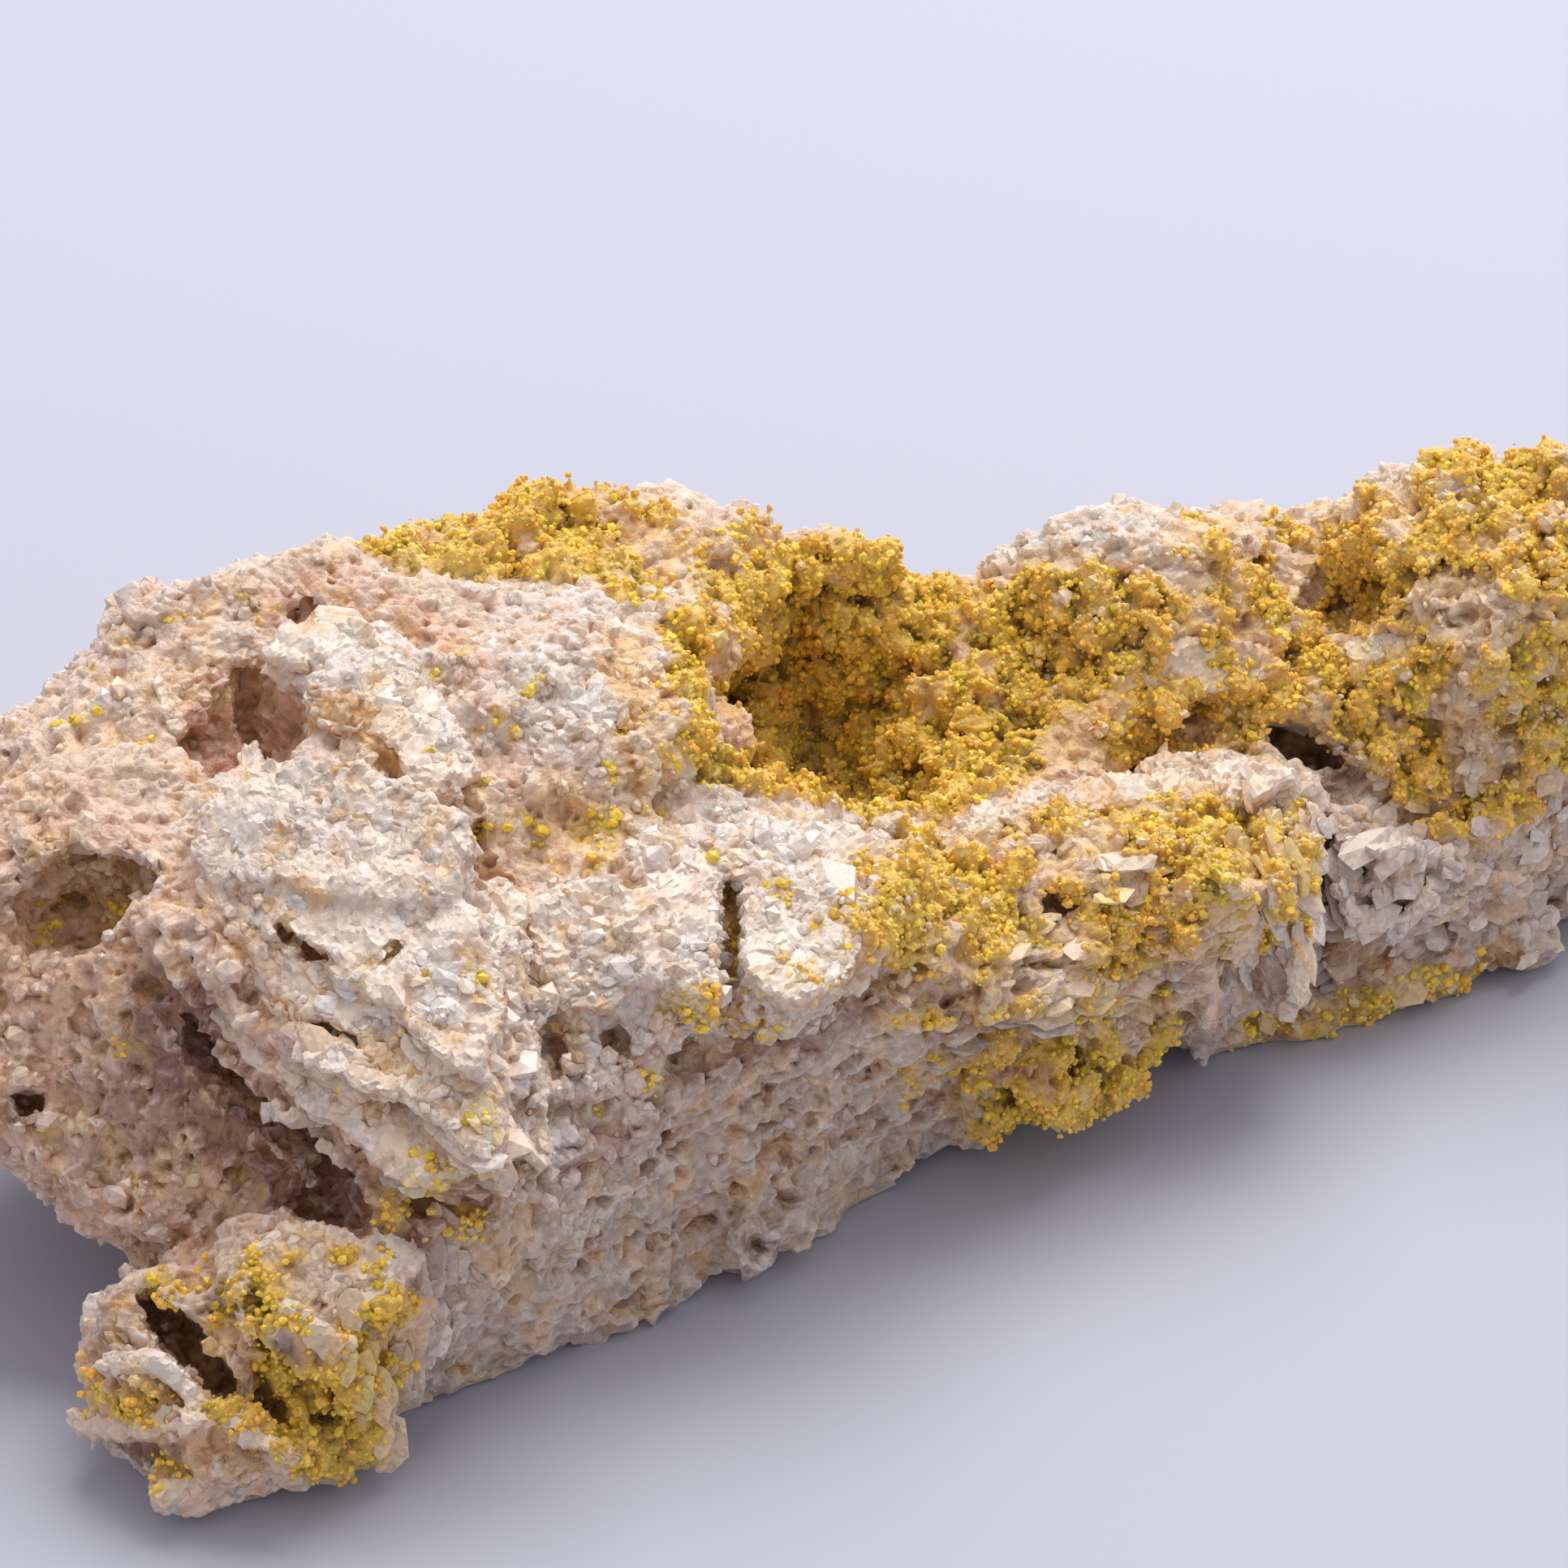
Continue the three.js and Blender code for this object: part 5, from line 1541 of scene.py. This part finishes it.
def many_lumps(name, middle, side, up, sizes, uneven, colours, rng):
    """One mesh of a lump at each middle, its sizes laid along the side, across it and up."""
    count = len(middle)
    axes = np.stack([side, np.cross(up, side), up], axis=1)
    shape = lump_points[None] * (1 + rng.uniform(-uneven, uneven, (count, len(lump_points), 1)))
    places = np.einsum("nki,nij->nkj", shape * sizes[:, None, :], axes) + middle[:, None, :]
    faces = lump_faces[None] + (np.arange(count) * len(lump_points))[:, None, None]
    mesh = bpy.data.meshes.new(name)
    mesh.from_pydata(places.reshape(-1, 3).tolist(), [], faces.reshape(-1, 3).tolist())
    give_tint(mesh, np.repeat(colours, len(lump_points), axis=0), np.ones(len(mesh.vertices)))
    mesh.update()
    return mesh


def strewn(name, spots, out, sizes, lean, uneven, colours, seed):
    """One mesh of lumps set on the stone's spots, out along its skin and turned any way."""
    rng = np.random.RandomState(seed)
    count = len(spots)
    up = unit(outward[spots] + rng.normal(0, lean, (count, 3)))
    side = unit(np.cross(up, rng.normal(0, 1, (count, 3))))
    middle = skin[spots] + rng.normal(0, ASTRAY, (count, 3)) + up * out[:, None]
    return many_lumps(name, middle, side, up, sizes, uneven, colours, rng)


grain_glass = tinted_finish(
    "blunt_quartz_crystals", GLASS_GRAINS, smoothest=0.15, roughest=0.4
)
density = patches(skin, GRAIN_SPOTS)
density *= ramp(-wide_dip, -0.9, 0.1) * 0.6 + 0.4
density *= ramp(drifts(skin, (1, 3.0, 131), (0.4, 1.2, 132)), -0.7, 0.4)
density *= 0.5 * (1 - 0.75 * yellowed) * (1 - in_painted_shade)
density *= outward[:, 2] > -0.6
for part, (left, right) in enumerate(zip(GRAIN_PARTS[:-1], GRAIN_PARTS[1:])):
    inside = (skin[:, 0] >= left) & (skin[:, 0] < right)
    spots = spots_on_stone(density * inside, GRAIN_SPACING, seed=140 + part)
    rng = np.random.RandomState(seed=150 + part)
    size = rng.lognormal(0, 0.38, len(spots)) * GRAIN_SIZE
    size *= 1 + 0.25 * patch(skin[spots], *SHELF)
    sizes = size[:, None] * rng.uniform(0.7, 1.5, (len(spots), 3))
    shade = rng.uniform(0.96, 1.05, (len(spots), 1))
    own = (colour[spots] * 0.8 + (CREAM * 0.5 + WHITE * 0.5) * 0.2) * shade
    grains = strewn(
        "grains", spots, -GRAIN_SUNK * size, sizes, GRAIN_LEAN, GRAIN_UNEVEN, own, seed=160 + part
    )
    finished(f"quartz_grains_{part + 1}", grains, grain_glass)

# Quartz blades.
# Thin flat flakes of the same quartz, stacked in the layered plates of the pile and the foot and
# in the striped right face, each grown into the stone at its root.

# Each row: centre, half size, way the flakes face, way they run, share.
BLADE_SPOTS = [
    ((-36, -17, 21), (5, 7, 6), (-0.38, -0.32, 0.87), (0.42, -0.83, -0.37), 0.25),
    ((-40, -22, 8), (4, 4, 8), (-0.60, -0.70, 0.30), (0.30, 0.10, 0.95), 0.6),
    ((32, -17, 9), (12, 6, 7), (0.05, -0.75, 0.66), (0.96, 0.20, 0.15), 0.12),
    ((21, -18, 14), (5, 5, 7), (0.40, -0.80, 0.40), (0.05, -0.40, -0.92), 0.5),
    ((10, -18, 13), (12, 6, 5), (-0.10, -0.40, 0.90), (0.95, -0.15, 0.10), 0.2),
]
BLADE_SPACING = 0.9
BLADE_HALF = (0.85, 0.5, 0.15)
BLADE_LEAN = 0.16
BLADE_UNEVEN = 0.22


def laid(name, spots, facing, along, sizes, colours, seed):
    """One mesh of flakes set on the stone's spots, all facing and running much one way."""
    rng = np.random.RandomState(seed)
    count = len(spots)
    up = unit(facing + rng.normal(0, BLADE_LEAN, (count, 3)))
    side = along + rng.normal(0, 1.5 * BLADE_LEAN, (count, 3))
    side = unit(side - np.sum(side * up, axis=1)[:, None] * up)
    middle = skin[spots] + outward[spots] * rng.uniform(-0.45, 0.1, (count, 1))
    return many_lumps(name, middle, side, up, sizes, BLADE_UNEVEN, colours, rng)


flake_facing = np.zeros((len(skin), 3))
flake_along = np.zeros((len(skin), 3))
flake_share = np.zeros(len(skin))
for centre, half, facing, along, share in BLADE_SPOTS:
    here = share * patch(skin, centre, half)
    stronger = here > flake_share
    flake_share = np.where(stronger, here, flake_share)
    flake_facing[stronger] = facing
    flake_along[stronger] = along
flake_share *= (1 - 0.8 * yellowed) * (1 - in_painted_shade)
flake_share *= ramp(drifts(skin, (1, 3.5, 181), (0.4, 1.4, 182)), -0.8, 0.2)
spots = spots_on_stone(flake_share, BLADE_SPACING, seed=183)
rng = np.random.RandomState(seed=184)
sizes = rng.lognormal(0, 0.35, (len(spots), 1)) * BLADE_HALF
sizes = sizes * rng.uniform(0.8, 1.25, (len(spots), 3))
own = (colour[spots] * 0.8 + WHITE * 0.2) * rng.uniform(0.94, 1.06, (len(spots), 1))
blades = laid("blades", spots, flake_facing[spots], flake_along[spots], sizes, own, seed=185)
finished("quartz_blades", blades, grain_glass)

# Pyromorphite crusts.
# Seven crusts of tiny waxy beads, yellow to olive, packed side by side in grapes on the quartz,
# each a natural growth bound to the stone under it. A bead is a lump of twenty small flats.
BEAD_OLIVE = np.array([0.64, 0.45, 0.035])
BEAD_YELLOW = np.array([0.96, 0.67, 0.07])
BEAD_OCHRE = np.array([0.93, 0.50, 0.08])
BEAD_SPACING = 0.33
BEAD_RADIUS = 0.15
WIDEST_BEAD = 2
BEAD_SUNK = 0.3
BEAD_LEAN = 0.3
BEAD_UNEVEN = 0.2


def bead_colours(spots, seed, dark):
    """Olive in the dips and the shade, golden yellow on the tips, ochre and cream here and there."""
    points = skin[spots]
    rng = np.random.RandomState(seed)
    # Painted shade: beads in the dips and on the shaded crusts turn olive and dark olive.
    share = 0.6 + 0.5 * drift(points, 3.0, 171) + 0.6 * drift(points, 1.3, 172) - dark * 0.6
    share = share - 2.0 * fine_dip[spots] - (0.15 + 0.3 * dark) * wide_dip[spots]
    share = share + rng.normal(0, 0.10, len(points))
    colours = blend(np.tile(BEAD_OLIVE, (len(points), 1)), BEAD_YELLOW, ramp(share, 0, 0.6))
    colours = blend(colours, BEAD_OCHRE, 0.8 * ramp(share, 0.75, 1.2))
    colours = blend(colours, SHADE_OLIVE, 0.8 * ramp(-share, 0.05, 0.6))
    pale = drifts(points, (1, 1.1, 175), (0.6, 0.5, 176)) + rng.normal(0, 0.25, len(points))
    colours = blend(colours, CREAM, 0.75 * ramp(pale, 0.45, 0.8) * np.clip(1 - 2 * dark, 0, 1))
    return colours * rng.uniform(0.9, 1.08, (len(points), 1))


def beads(name, spots, dark, seed, radius):
    """A crust of beads on the given spots of the stone."""
    rng = np.random.RandomState(seed)
    size = np.minimum(rng.lognormal(0, 0.42, len(spots)), WIDEST_BEAD) * radius
    sizes = size[:, None] * rng.uniform(0.75, 1.3, (len(spots), 3))
    colours = bead_colours(spots, seed + 1, dark)
    return strewn(
        name, spots, -BEAD_SUNK * size, sizes, BEAD_LEAN, BEAD_UNEVEN, colours, seed + 2
    )


bead_wax = tinted_finish("pyromorphite_beads", CRUST_GRAINS, smoothest=0.3, roughest=0.55)
for number, (node, _, dark) in enumerate(CRUSTS):
    seed = 200 + 10 * number
    spots = spots_on_stone(cover[node] * 1.4, BEAD_SPACING, seed)
    crust = beads(node, spots, dark, seed + 1, BEAD_RADIUS)
    finished(node.replace("pyromorphite", "beads"), crust, bead_wax, [node])

# Pyromorphite specks.
# Single beads and small groups of the same mineral away from the crusts, in cracks and corners
# of the quartz. They are a little larger and stand further apart.
SPECK_SPACING = 0.42
SPECK_RADIUS = 0.19
# How much painted shade darkens the specks.
SPECK_SHADE = 0.1

spots = spots_on_stone(speckled, SPECK_SPACING, seed=193)
specks = beads("specks", spots, SPECK_SHADE, seed=194, radius=SPECK_RADIUS)
finished("pyromorphite_specks", specks, bead_wax)
